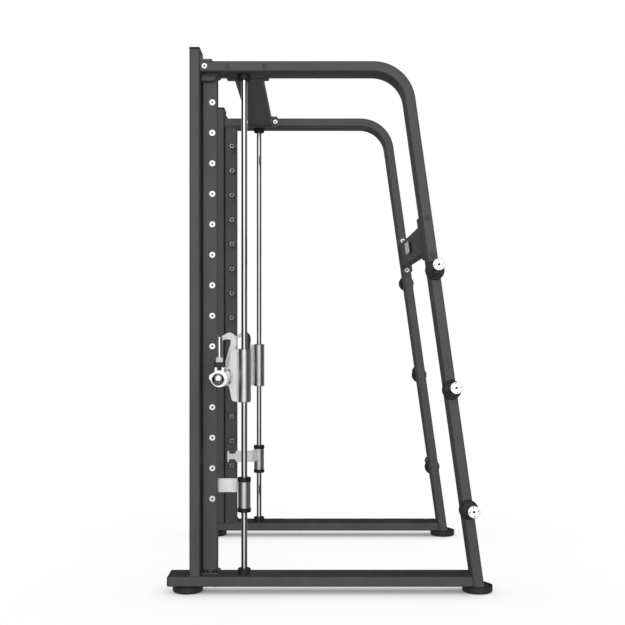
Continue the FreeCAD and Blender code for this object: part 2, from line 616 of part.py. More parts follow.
# ---------------------------------------------------------------- plate storage
def storage_parts(height):
    """Base disc with its hub, tube and end cap of one storage peg on the outer face of a leg."""
    tilt = math.radians(STORAGE_TILT_DEG)
    along = V(math.cos(tilt), 0, math.sin(tilt))
    seat = leg_centre(height) + ACROSS * FRAME_HALF_WIDTH
    outside = box((FRAME_HALF_WIDTH, -1e4, -1e4), (2 * FRAME_HALF_WIDTH, 1e4, 1e4))
    disc = rod(seat, ACROSS, STORAGE_DISC_THICKNESS, STORAGE_DISC_RADIUS)
    outer_x = FRAME_HALF_WIDTH + STORAGE_DISC_THICKNESS
    rim = [e for e in disc.Edges if abs(e.CenterOfMass.x - outer_x) < 0.01]
    disc = disc.makeFillet(STORAGE_DISC_THICKNESS * 0.4, rim)
    hub = rod(seat - along * STORAGE_HUB_RADIUS, along, STORAGE_HUB_RADIUS + STORAGE_HUB_LENGTH,
              STORAGE_HUB_RADIUS)
    hub_face = [e for e in hub.Edges if (e.CenterOfMass - seat).dot(along) > STORAGE_HUB_LENGTH - 0.01]
    hub = hub.makeFillet(2.5, hub_face).common(outside)
    root = rod(seat - along * STORAGE_ROOT_RADIUS, along, STORAGE_ROOT_RADIUS + STORAGE_HUB_LENGTH,
               STORAGE_ROOT_RADIUS).common(outside)
    disc = disc.fuse(hub).removeSplitter().cut(root)
    shoulder = seat + along * STORAGE_HUB_LENGTH
    tube = rod(shoulder, along, STORAGE_TUBE_LENGTH, STORAGE_TUBE_RADIUS)
    tube = tube.fuse(root).removeSplitter()
    inside = STORAGE_ROOT_RADIUS - TUBE_WALL
    tube = tube.cut(rod(seat - along * inside, along, 2 * STORAGE_TUBE_LENGTH, inside))
    end = shoulder + along * STORAGE_TUBE_LENGTH
    cap = rod(end, along, STORAGE_CAP_LENGTH, STORAGE_TUBE_RADIUS)
    rim = [e for e in cap.Edges if (e.CenterOfMass - end).dot(along) > STORAGE_CAP_LENGTH - 0.01]
    cap = cap.makeFillet(2.0, rim)
    face = end + along * STORAGE_CAP_LENGTH
    cap = cap.cut(rod(face, -along, 3.0, 3.0))
    return disc, tube, cap


# ---------------------------------------------------------------- carriage
def housing():
    """Machined sleeve that runs on a guide rod."""
    bottom = V(ROD_X, ROD_Y, HOUSING_CENTRE_Z - HOUSING_HEIGHT / 2)
    return ring(bottom, UP, HOUSING_HEIGHT, HOUSING_RADIUS, LINER_RADIUS)


def housing_liners():
    """The two plain bearings pressed into a housing."""
    shapes = []
    for end in (-1, 1):
        outer_z = HOUSING_CENTRE_Z + end * (HOUSING_HEIGHT / 2 + LINER_LIP)
        start = V(ROD_X, ROD_Y, outer_z)
        body = ring(start, UP * -end, LINER_LENGTH, LINER_RADIUS, ROD_RADIUS + RUNNING_GAP)
        lip = ring(start, UP * -end, LINER_LIP, LINER_RADIUS + 4.0, ROD_RADIUS + RUNNING_GAP)
        shapes.append(body.fuse(lip).removeSplitter())
    return group(shapes)


def carriage_plate():
    """Plate welded to the housing, tapering to a round nose that holds the bar's bearing."""
    top = HOUSING_CENTRE_Z + HOUSING_HEIGHT / 2
    bottom = HOUSING_CENTRE_Z - HOUSING_HEIGHT / 2
    shoulder = ROD_Y - HOUSING_RADIUS - 26.0
    waist = BAR_Y + 21.0
    points = [(ROD_Y, top - 1.0), (shoulder, top - 1.0), (waist, BAR_Z + 34.0),
              (BAR_Y, BAR_Z + PLATE_NOSE_RADIUS), (BAR_Y, BAR_Z - PLATE_NOSE_RADIUS),
              (waist, BAR_Z - 34.0), (shoulder + 4.0, bottom + 1.0), (ROD_Y, bottom + 1.0)]
    plate = outline(points, [0, 14, 16, 0, 0, 16, 14, 0], CARRIAGE_PLATE_X, CARRIAGE_PLATE_THICKNESS)
    nose = rod(V(CARRIAGE_PLATE_X, BAR_Y, BAR_Z), ACROSS, CARRIAGE_PLATE_THICKNESS, PLATE_NOSE_RADIUS)
    plate = plate.fuse(nose).removeSplitter()
    barrel = rod(V(ROD_X, ROD_Y, bottom - 1), UP, HOUSING_HEIGHT + 2, HOUSING_RADIUS)
    plate = plate.cut(barrel)
    behind = box((0, ROD_Y, 0), (FRAME_HALF_WIDTH, ROD_Y + HOUSING_RADIUS, UPRIGHT_TOP_Z))
    plate = plate.cut(behind)
    hole = rod(V(0, BAR_Y, BAR_Z), ACROSS, FRAME_HALF_WIDTH, BEARING_BODY_RADIUS)
    plate = plate.cut(hole)
    for seat in bearing_bolt_seats():
        plate = drilled(plate, seat, -ACROSS, CARRIAGE_PLATE_THICKNESS + BEARING_FLANGE_THICKNESS,
                        BEARING_BOLT_RADIUS + HOLE_GAP)
    return plate


def bearing_bolt_seats():
    """Heads of the four screws of a bar bearing, on the outer face of its flange."""
    x = CARRIAGE_PLATE_X + CARRIAGE_PLATE_THICKNESS + BEARING_FLANGE_THICKNESS
    seats = []
    for quarter in range(4):
        angle = math.radians(45.0 + 90.0 * quarter)
        seats.append(V(x, BAR_Y + BEARING_BOLT_CIRCLE * math.cos(angle),
                       BAR_Z + BEARING_BOLT_CIRCLE * math.sin(angle)))
    return seats


def bar_bearing():
    """Flanged bearing that carries one end of the bar in the carriage plate."""
    plate_out = CARRIAGE_PLATE_X + CARRIAGE_PLATE_THICKNESS
    body = rod(V(CARRIAGE_PLATE_X, BAR_Y, BAR_Z), ACROSS,
               CARRIAGE_PLATE_THICKNESS + BEARING_FLANGE_THICKNESS + BEARING_NOSE, BEARING_BODY_RADIUS)
    flange = rod(V(plate_out, BAR_Y, BAR_Z), ACROSS, BEARING_FLANGE_THICKNESS, BEARING_FLANGE_RADIUS)
    outer_x = plate_out + BEARING_FLANGE_THICKNESS
    rim = [e for e in flange.Edges if abs(e.CenterOfMass.x - outer_x) < 0.01]
    flange = flange.makeFillet(2.5, rim)
    solid = body.fuse(flange).removeSplitter()
    solid = solid.cut(rod(V(0, BAR_Y, BAR_Z), ACROSS, FRAME_HALF_WIDTH, BAR_RADIUS + RUNNING_GAP))
    for seat in bearing_bolt_seats():
        solid = drilled(solid, seat, -ACROSS, BEARING_FLANGE_THICKNESS,
                        BEARING_BOLT_RADIUS + HOLE_GAP)
    return solid


def bearing_screws():
    """Socket-head screws of a bar bearing."""
    shapes = []
    head_height = 5.0
    for seat in bearing_bolt_seats():
        screw = rod(seat, ACROSS, head_height, BEARING_BOLT_RADIUS * 1.7)
        screw = screw.cut(hexagon(seat + ACROSS * head_height, -ACROSS, BEARING_BOLT_RADIUS * 0.9, 3.0))
        shank = BEARING_FLANGE_THICKNESS + CARRIAGE_PLATE_THICKNESS - 1.0
        shapes.append(screw.fuse(rod(seat - ACROSS * shank, ACROSS, shank, BEARING_BOLT_RADIUS)))
    return group(shapes)


# ---------------------------------------------------------------- bar and hooks
def bar_shaft():
    """Straight round bar through both carriage plates."""
    shaft = rod(V(-BAR_HALF_LENGTH, BAR_Y, BAR_Z), ACROSS, 2 * BAR_HALF_LENGTH, BAR_RADIUS)
    return shaft.makeChamfer(2.0, [e for e in shaft.Edges if len(e.Vertexes) == 1])


def hook_outline():
    """The hook on its peg, as a face in the plane X = 0 with the bar's axis at the origin.

    The jaw reaches back over the peg at a constant distance from the bar, so that it swings
    on and off as the bar turns. Its tip drops a little below the seat.
    """
    peg_y = PEG_Y - BAR_Y
    peg_z = PEG_PITCH - 2.0 + HOOK_LIFT
    peg = V(0, peg_y, peg_z)
    seat_radius = PEG_RADIUS + HOOK_SEAT_GAP
    peg_angle = math.degrees(math.atan2(-peg_y, peg_z))
    jaw = peg.Length + seat_radius
    lip = jaw - HOOK_LIP

    def polar(radius, angle_deg):
        angle = math.radians(angle_deg)
        return V(0, -radius * math.sin(angle), radius * math.cos(angle))

    half = math.degrees(math.asin(seat_radius / peg.Length))
    front_wall = peg_angle - half - 0.6
    lip_start = peg_angle + half + 0.6
    tip_angle = peg_angle + half + 7.0
    inner_front = polar(peg.Length - 6.0, front_wall)
    seat_front = polar(jaw - 4.0, front_wall)
    seat_mid = polar(jaw - 1.2, front_wall + 1.0)
    seat_on = polar(jaw, front_wall + 2.6)
    seat_back = polar(jaw, lip_start - 1.5)
    lip_on = polar(lip, lip_start)
    lip_tip = polar(lip, tip_angle)
    tip_out = polar(lip + 12.0, tip_angle + 0.8)
    crown = [V(0, -63, 169), V(0, -44, 175), V(0, -26, 168), V(0, -12, 150), V(0, -1, 113),
             V(0, 12, 78), V(0, 22, 40), V(0, 26, 8)]
    edges = [
        Part.makeLine(V(0, -25, 10), V(0, -24, 60)),
        Part.makeLine(V(0, -24, 60), V(0, -30, 104)),
        Part.makeLine(V(0, -30, 104), inner_front),
        Part.makeLine(inner_front, seat_front),
        Part.Arc(seat_front, seat_mid, seat_on).toShape(),
        Part.Arc(seat_on, polar(jaw, peg_angle), seat_back).toShape(),
        Part.makeLine(seat_back, lip_on),
        Part.makeLine(lip_on, lip_tip),
        Part.Arc(lip_tip, polar(lip + 5.5, tip_angle + 2.2), tip_out).toShape(),
        Part.makeLine(tip_out, crown[0]),
    ]
    back = Part.BSplineCurve()
    back.interpolate(crown)
    edges.append(back.toShape())
    edges.append(Part.makeLine(crown[-1], V(0, -25, 10)))
    return Part.Face(Part.Wire(edges))


def stored_hook(shape, inner_x):
    """A hook piece drawn on its peg, moved to the bar and turned forward off the pegs."""
    turned = shape.rotated(ORIGIN, -ACROSS, HOOK_REST_TURN_DEG)
    return turned.translated(V(inner_x, BAR_Y, BAR_Z))


def hook():
    """Steel hook plate with the hub that grips the bar."""
    plate = hook_outline().extrude(ACROSS * HOOK_THICKNESS)
    plate = stored_hook(plate, HOOK_INNER_X)
    hub_start = V(HOOK_INNER_X - (HOOK_HUB_LENGTH - HOOK_THICKNESS) / 2, BAR_Y, BAR_Z)
    hub = rod(hub_start, ACROSS, HOOK_HUB_LENGTH, HOOK_HUB_RADIUS)
    solid = plate.fuse(hub).removeSplitter()
    return solid.cut(rod(hub_start, ACROSS, HOOK_HUB_LENGTH, BAR_RADIUS))


def hook_cover():
    """Plastic cover on the inner face of a hook, cut off straight behind the peg."""
    face = hook_outline()
    cover = face.extrude(ACROSS * HOOK_COVER_THICKNESS)
    keep = box((-1, PEG_Y - BAR_Y - 12.0, 52.0), (HOOK_COVER_THICKNESS + 1, 60.0, 200.0))
    cover = cover.common(keep)
    return stored_hook(cover, HOOK_INNER_X - HOOK_COVER_THICKNESS)


def shaft_collar():
    """Clamped ring on the bar beside a hook."""
    width = 14.0
    hub_inner_x = HOOK_INNER_X - (HOOK_HUB_LENGTH - HOOK_THICKNESS) / 2
    start = V(hub_inner_x - width, BAR_Y, BAR_Z)
    collar = ring(start, ACROSS, width, BAR_RADIUS + 9.0, BAR_RADIUS)
    screw = rod(V(start.x + width / 2, BAR_Y, BAR_Z - BAR_RADIUS), -UP, 9.0, 3.0)
    return collar.cut(screw)


# ---------------------------------------------------------------- weight sleeves and plate locks
def sleeve():
    """Tube that takes the weight plates and turns freely on the bar's end."""
    start = V(SLEEVE_START_X, BAR_Y, BAR_Z)
    tube = rod(start, ACROSS, SLEEVE_END_X - SLEEVE_START_X, SLEEVE_RADIUS)
    flange = rod(start, ACROSS, SLEEVE_FLANGE_LENGTH, SLEEVE_FLANGE_RADIUS)
    flange_edges = [e for e in flange.Edges if len(e.Vertexes) == 1]
    flange = flange.makeFillet(2.5, flange_edges)
    bore = rod(start, ACROSS, SLEEVE_END_X - SLEEVE_START_X, SLEEVE_BORE)
    return tube.fuse(flange).cut(bore).removeSplitter()


def sleeve_bushes():
    """The two bushes between a sleeve and the bar."""
    shapes = []
    for start in (SLEEVE_START_X, SLEEVE_END_X - SLEEVE_BUSH_LENGTH - 8.0):
        at = V(start, BAR_Y, BAR_Z)
        shapes.append(ring(at, ACROSS, SLEEVE_BUSH_LENGTH, SLEEVE_BORE, BAR_RADIUS + RUNNING_GAP))
    return group(shapes)


def sleeve_cap():
    """Domed end cap of a sleeve: a low dome on a short rim."""
    start = V(SLEEVE_END_X, BAR_Y, BAR_Z)
    dome_radius = (SLEEVE_CAP_RADIUS ** 2 + SLEEVE_DOME_HEIGHT ** 2) / (2 * SLEEVE_DOME_HEIGHT)
    length = SLEEVE_CAP_RIM + SLEEVE_DOME_HEIGHT
    centre = start + ACROSS * (length - dome_radius)
    return rod(start, ACROSS, length, SLEEVE_CAP_RADIUS).common(Part.makeSphere(dome_radius, centre))




def lock_middle():
    """The bar's axis in the middle of the plate lock."""
    return V(LOCK_X + LOCK_WIDTH / 2, BAR_Y, BAR_Z)


def lock_ring():
    """Split ring of the plate lock, with a lug behind and two ears on top."""
    lug = [(-24, 24), (-38, 15), (-40, 2), (-31, -12), (-18, -20), (-10, 20)]
    points = [(BAR_Y + y, BAR_Z + z) for y, z in lug]
    body = outline(points, [3, 6, 6, 6, 3, 3], LOCK_X, LOCK_WIDTH)
    body = body.fuse(rod(V(LOCK_X, BAR_Y, BAR_Z), ACROSS, LOCK_WIDTH, LOCK_RING_RADIUS))
    for side in (-1, 1):
        near = LOCK_EAR_OFFSET
        far = LOCK_EAR_OFFSET + LOCK_EAR_WIDTH
        y0 = min(side * near, side * far)
        low = (LOCK_X + 6.0, BAR_Y + y0, BAR_Z + LOCK_RING_RADIUS - 10.0)
        high = (LOCK_X + LOCK_WIDTH - 6.0, BAR_Y + y0 + LOCK_EAR_WIDTH, BAR_Z + LOCK_BLOCK_LOW)
        body = body.fuse(box(low, high))
    bore = rod(V(LOCK_X, BAR_Y, BAR_Z), ACROSS, LOCK_WIDTH, SLEEVE_RADIUS + LOCK_SLIDE_GAP)
    body = body.cut(bore)
    stem_hole = rod(lock_middle(), UP, LOCK_BLOCK_LOW, LOCK_STEM_RADIUS + HOLE_GAP)
    return body.cut(stem_hole).removeSplitter()


def lock_clamp():
    """Black clamp block of the plate lock and the screw stem below it."""
    middle = lock_middle()
    stem_low = SLEEVE_RADIUS + LOCK_SLIDE_GAP + 1.0
    stem = rod(middle + UP * stem_low, UP, LOCK_BLOCK_LOW - stem_low, LOCK_STEM_RADIUS)
    centre = middle + UP * LOCK_BLOCK_LOW + FORWARD * 1.5
    block = rounded_face(centre, ACROSS, FORWARD, LOCK_BLOCK_WIDTH, LOCK_BLOCK_LENGTH, 5.0)
    block = block.extrude(UP * LOCK_BLOCK_HEIGHT)
    return block.fuse(stem).removeSplitter()


def lock_grip():
    """Hexagon nut and upright grip of the plate lock."""
    foot_at = lock_middle() + UP * (LOCK_BLOCK_LOW + LOCK_BLOCK_HEIGHT)
    nut = hexagon(foot_at, UP, LOCK_NUT_RADIUS, LOCK_NUT_HEIGHT).rotated(foot_at, UP, 30)
    grip_low = LOCK_BLOCK_LOW + LOCK_BLOCK_HEIGHT + LOCK_NUT_HEIGHT
    grip = rod(lock_middle() + UP * grip_low, UP, LOCK_GRIP_TOP - grip_low, LOCK_GRIP_RADIUS)
    top = [e for e in grip.Edges if abs(e.CenterOfMass.z - BAR_Z - LOCK_GRIP_TOP) < 0.01]
    return group([nut, grip.makeFillet(4.0, top)])


# ---------------------------------------------------------------- safety stops
def stop_sleeve():
    """Machined sleeve of a safety stop on its guide rod, between two rubber rings."""
    start = V(ROD_X, ROD_Y, STOP_BOTTOM_Z + STOP_RING_HEIGHT)
    length = STOP_HEIGHT - 2 * STOP_RING_HEIGHT
    return ring(start, UP, length, STOP_RADIUS, ROD_RADIUS + RUNNING_GAP)


def stop_rings():
    """Rubber buffers at the two ends of a stop's sleeve."""
    shapes = []
    for low in (STOP_BOTTOM_Z, STOP_BOTTOM_Z + STOP_HEIGHT - STOP_RING_HEIGHT):
        start = V(ROD_X, ROD_Y, low)
        solid = ring(start, UP, STOP_RING_HEIGHT, STOP_RING_RADIUS, ROD_RADIUS + RUNNING_GAP)
        outside = [e for e in solid.Edges
                   if len(e.Vertexes) == 1 and e.Curve.Radius > STOP_RING_RADIUS - 1]
        shapes.append(solid.makeFillet(2.5, outside))
    return group(shapes)


def stop_plate():
    """Bent arm of a safety stop: it steps in past the peg upright, then runs back over a peg."""
    low = STOP_PLATE_BOTTOM_Z
    high = low + STOP_PLATE_HEIGHT
    half = STOP_PLATE_THICKNESS / 2
    tip_y = PEG_Y - STOP_TIP
    axis = V(ROD_X, ROD_Y, low)
    bend = V(STOP_CROSS_X, STOP_BEND_Y, low)
    tip = V(STOP_CROSS_X, tip_y, low)
    inward = bend - axis
    inward.normalize()
    step_side = UP.cross(inward)
    run_side = UP.cross(-FORWARD)
    mitre = (step_side + run_side) * (half / (1 + step_side.dot(run_side)))
    corners = [axis + step_side * half, bend + mitre, tip + run_side * half, tip - run_side * half,
               bend - mitre, axis - step_side * half]
    strip = Part.Face(Part.makePolygon(corners + corners[:1])).extrude(UP * STOP_PLATE_HEIGHT)
    for corner, radius in ((corners[1], STOP_BEND_RADIUS),
                           (corners[4], STOP_BEND_RADIUS + STOP_PLATE_THICKNESS)):
        upright_edges = [e for e in strip.Edges if abs(e.CenterOfMass.x - corner.x) < 0.01
                         and abs(e.CenterOfMass.y - corner.y) < 0.01]
        strip = strip.makeFillet(radius, upright_edges)
    mouth = STOP_NOTCH_MOUTH / 2
    seat = STOP_NOTCH_SEAT / 2
    points = [(ROD_Y, low), (ROD_Y, high), (PEG_Y + mouth, high),
              (PEG_Y + seat, high - STOP_NOTCH_DEPTH), (PEG_Y - seat, high - STOP_NOTCH_DEPTH),
              (PEG_Y - mouth, high), (tip_y, high), (tip_y, low), (PEG_Y - mouth, low),
              (PEG_Y - seat, low + STOP_NOTCH_DEPTH), (PEG_Y + seat, low + STOP_NOTCH_DEPTH),
              (PEG_Y + mouth, low)]
    radii = [0, 0, 3, 6, 6, 3, 3, 3, 3, 6, 6, 3]
    side_view = outline(points, radii, STOP_CROSS_X - STOP_PLATE_THICKNESS, ROD_X - STOP_CROSS_X)
    barrel = rod(V(ROD_X, ROD_Y, low - 1), UP, STOP_PLATE_HEIGHT + 2, STOP_RADIUS)
    return strip.common(side_view).cut(barrel)


# ---------------------------------------------------------------- all the nodes
def make_nodes():
    """Every node by name."""
    nodes = {}

    def pair(name, shape):
        nodes[name + "_right"] = shape
        nodes[name + "_left"] = mirrored(shape)

    pair("base_beam", base_beam())
    pair("back_upright", back_upright())
    pair("arch", arch())
    pair("peg_upright", peg_upright())
    pair("rack_pegs", group([rack_peg(height) for height in PEG_HEIGHTS]))
    pair("guide_rod", guide_rod())
    nodes["base_end_caps"] = both(base_end_cap())
    nodes["upright_caps"] = both(upright_cap())
    nodes["peg_upright_flanges"] = both(peg_upright_flanges())
    nodes["rod_sockets"] = both(rod_sockets())
    nodes["top_gussets"] = both(top_gusset())
    nodes["flange_bolts"] = both(flange_bolts())
    nodes["rear_feet"] = both(foot(REAR_FOOT_Y))
    nodes["front_feet"] = both(foot(FRONT_FOOT_Y))

    top_centre = V(0, TOP_CROSS_Y, ARCH_TOP_Z - TUBE_DEPTH / 2)
    front_centre = leg_centre(FRONT_CROSS_Z)
    nodes["top_cross_tube"] = cross_tube(top_centre, FORWARD, UP)
    nodes["front_cross_tube"] = cross_tube(front_centre, LEG_DOWN, LEG_REAR)
    plates = [cross_plate(top_centre, FORWARD, UP, top_cross_seats()),
              cross_plate(front_centre, LEG_DOWN, LEG_REAR, front_cross_seats())]
    nodes["cross_tube_plates"] = both(group(plates))
    nodes["frame_bolts"] = both(bright_bolts())
    nodes["bolt_plugs"] = both(group(
        [bolt_plug(seat) for seat in top_cross_seats() + front_cross_seats()]))
    nodes["blank_nameplate"], nodes["nameplate_bracket"] = nameplate_parts()

    storage = [storage_parts(height) for height in STORAGE_HEIGHTS]
    nodes["storage_discs"] = both(group([disc for disc, tube, cap in storage]))
    nodes["storage_tubes"] = both(group([tube for disc, tube, cap in storage]))
    nodes["storage_caps"] = both(group([cap for disc, tube, cap in storage]))

    pair("carriage_housing", housing())
    pair("carriage_plate", carriage_plate())
    nodes["housing_liners"] = both(housing_liners())
    nodes["bar_bearings"] = both(bar_bearing())
    nodes["bearing_screws"] = both(bearing_screws())

    nodes["bar_shaft"] = bar_shaft()
    pair("bar_hook", hook())
    nodes["hook_covers"] = both(hook_cover())
    nodes["shaft_collars"] = both(shaft_collar())

    pair("weight_sleeve", sleeve())
    pair("sleeve_bushes", sleeve_bushes())
    pair("sleeve_cap", sleeve_cap())
    pair("lock_ring", lock_ring())
    pair("lock_clamp", lock_clamp())
    pair("lock_grip", lock_grip())

    pair("stop_sleeve", stop_sleeve())
    pair("stop_plate", stop_plate())
    pair("stop_rings", stop_rings())
    return nodes


def main():
    """Write one STEP file per node."""
    os.makedirs("parts", exist_ok=True)
    nodes = make_nodes()
    for name in sorted(nodes):
        shape = nodes[name]
        volume = sum(solid.Volume for solid in shape.Solids)
        print(f"{name:24s} solids {len(shape.Solids):3d}  volume {volume / 1000:9.1f} cm3"
              f"  valid {shape.isValid()}")
        shape.exportStep(os.path.join("parts", name + ".step"))
    print(len(nodes), "nodes")


main()
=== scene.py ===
import json
import math

import bmesh
import bpy
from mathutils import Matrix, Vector


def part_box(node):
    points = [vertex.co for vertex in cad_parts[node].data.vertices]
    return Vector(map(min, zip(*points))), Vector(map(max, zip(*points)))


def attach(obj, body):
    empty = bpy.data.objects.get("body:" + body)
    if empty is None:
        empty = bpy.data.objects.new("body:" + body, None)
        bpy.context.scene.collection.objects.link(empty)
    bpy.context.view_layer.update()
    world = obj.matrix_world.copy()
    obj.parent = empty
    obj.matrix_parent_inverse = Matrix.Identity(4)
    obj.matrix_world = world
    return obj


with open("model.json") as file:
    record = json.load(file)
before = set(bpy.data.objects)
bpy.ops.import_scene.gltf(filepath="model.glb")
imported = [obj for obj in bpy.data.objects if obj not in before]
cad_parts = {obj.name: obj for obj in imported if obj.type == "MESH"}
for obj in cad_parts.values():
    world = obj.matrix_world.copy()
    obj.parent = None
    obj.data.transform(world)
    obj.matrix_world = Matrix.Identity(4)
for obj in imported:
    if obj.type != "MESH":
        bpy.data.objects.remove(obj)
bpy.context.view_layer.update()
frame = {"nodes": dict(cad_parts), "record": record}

NODES = frame["nodes"]
ACROSS = Vector((1, 0, 0))
FORWARD = Vector((0, 1, 0))
UP = Vector((0, 0, 1))
SIDES = (("right", 1), ("left", -1))

# The same sizes as the CAD model, in metres and radians.
FRAME_OUT_X = 0.644
FRAME_IN_X = 0.514
FRAME_MID_X = 0.579
TUBE_WIDTH = 0.130
TUBE_DEPTH = 0.043
TUBE_CORNER = 0.0065
BEAM_TOP_Z = 0.075
BEAM_HEIGHT = 0.042
CROSS_TUBE_WIDTH = 0.120
CROSS_TUBE_DEPTH = 0.042
PEG_UPRIGHT_CORNER = 0.004
ARCH_TOP_Z = 2.1905
BAR_Y = -0.445
BAR_Z = 0.894
LEAN = math.radians(8.03)
STORAGE_TILT = math.radians(6.2)
STORAGE_HEIGHTS = (1.331, 0.842, 0.351)
STORAGE_REACH = 0.150           # hub, tube and end cap, along the tilted axis
STORAGE_STUD_CIRCLE = 0.0175
PEG_COUNT = 14
PEG_PITCH = 0.127
PEG_HEAD_RADIUS = 0.012
CROSS_PLATE_THICKNESS = 0.010
CROSS_BOLT_SPACING = 0.154
BOLT_STACK = 0.009              # washer and head
BACK_UPRIGHT_FRONT_Y = -0.538
SIDE_HEAD_OFFSET = 0.020
LEG_DOWN = Vector((0, math.sin(LEAN), -math.cos(LEAN)))
LEG_REAR = Vector((0, -math.cos(LEAN), -math.sin(LEAN)))

# Small turned pieces: each profile is (distance along the axis, radius).
CAP_SCREW_PROFILE = ((-0.003, 0.0052), (0.0004, 0.0052), (0.0012, 0.0042), (0.0012, 0.0026),
                     (-0.001, 0.0024), (-0.001, 0))
CAP_STUD_PROFILE = ((-0.0008, 0.0026), (0.0006, 0.0026), (0.0012, 0.002), (0.0012, 0))
BOLT_CENTRE_PROFILE = ((-0.001, 0.0046), (0.0004, 0.0046), (0.0008, 0.004), (0.0008, 0.0032),
                       (0.0002, 0.0028), (0.0002, 0))
SOCKET_SHADE_CUP = (0.0049, 0.0015)    # radius and depth of a black cup of painted shade inside the socket of a peg or bolt head
BORE_SHADE_CUP = (0.0079, 0.003)       # radius and depth of a black cup of painted shade inside the bore at a peg's free end

# Surface details in the shaders.
BAR_KNURL = (0.16, 0.43)        # from and to, as distances from the bar's middle
KNURL_RIDGES_ROUND = 36.0
KNURL_WAVE_ALONG = 2400.0       # radians per metre
GRIP_NUT = (0.060, 0.0845)      # from and to, as heights above the bar's axis

# Weld beads: a profile is (outwards, lift) in bead sizes, and the ripple runs along the bead.
WELD_SIZE = 0.0034
WELD_STEP = 0.0035
WELD_PROFILE = ((1.0, 0.0), (0.82, 0.42), (0.5, 0.72), (0.16, 0.95), (-0.2, 0.6), (-0.2, -0.1))
WELD_RIPPLE = 0.16
WELD_RIPPLE_TURN = 2.1
WELD_WAVE = 0.06
WELD_WAVE_TURN = 0.7
WELD_SMOOTH_DEG = 60.0
CARRIAGE_BEAD_SIZE = 0.003
CARRIAGE_BEAD_PROFILE = ((1.1, -0.3), (1.0, 0.2), (0.7, 0.7), (0.3, 1.0), (-0.1, 1.0), (-0.1, -0.3))
CARRIAGE_BEAD_RIPPLE = 0.18
CARRIAGE_BEAD_STEPS = 58
CARRIAGE_BEAD_END = 0.006       # bare plate past each end of the bead
CARRIAGE_BEAD_TAPER = 0.4       # size of the bead's two ends
CARRIAGE_BEAD_SINK = 0.0002

# The photograph's view: a level camera in front of the right side frame.
CAMERA_DISTANCE = 4.2
CAMERA_Y = -0.0709
CAMERA_Z = 1.100
CAMERA_LENS_MM = 59.03
CAMERA_SHIFT = (-0.0018, 0.0229)

# Studio lights: name, place, height of the point they face, and power in watts.
LIGHT_SIZE = 2.0
LIGHTS = (("key", (5.0, 0.3, 1.35), 1.2, 86),
          ("back_fill", (-5.0, 0.5, 0.4), 1.1, 150),
          ("rack_fill", (-0.5, -5.0, 0.4), 1.1, 95),
          ("leg_fill", (-0.5, 5.0, 0.4), 1.1, 95))
FLOOR_REACH = 60.0
FLOOR_SHADES = ((0.10, 0.22), (0.9, 0.32))      # reach in metres and strength


# ------------------------------------------------------------------ node helpers
class Tree:
    """A node tree, with short calls for the nodes it uses."""

    def __init__(self, tree):
        self.tree = tree

    def add(self, kind, **settings):
        node = self.tree.nodes.new(kind)
        for key, value in settings.items():
            setattr(node, key, value)
        return node

    def link(self, source, target):
        self.tree.links.new(source, target)

    def put(self, socket, value):
        """The socket takes another node's output or a plain value."""
        if isinstance(value, bpy.types.NodeSocket):
            self.link(value, socket)
        else:
            socket.default_value = value

    def maths(self, operation, first, second=0.0):
        node = self.add("ShaderNodeMath", operation=operation)
        self.put(node.inputs[0], first)
        self.put(node.inputs[1], second)
        return node.outputs["Value"]


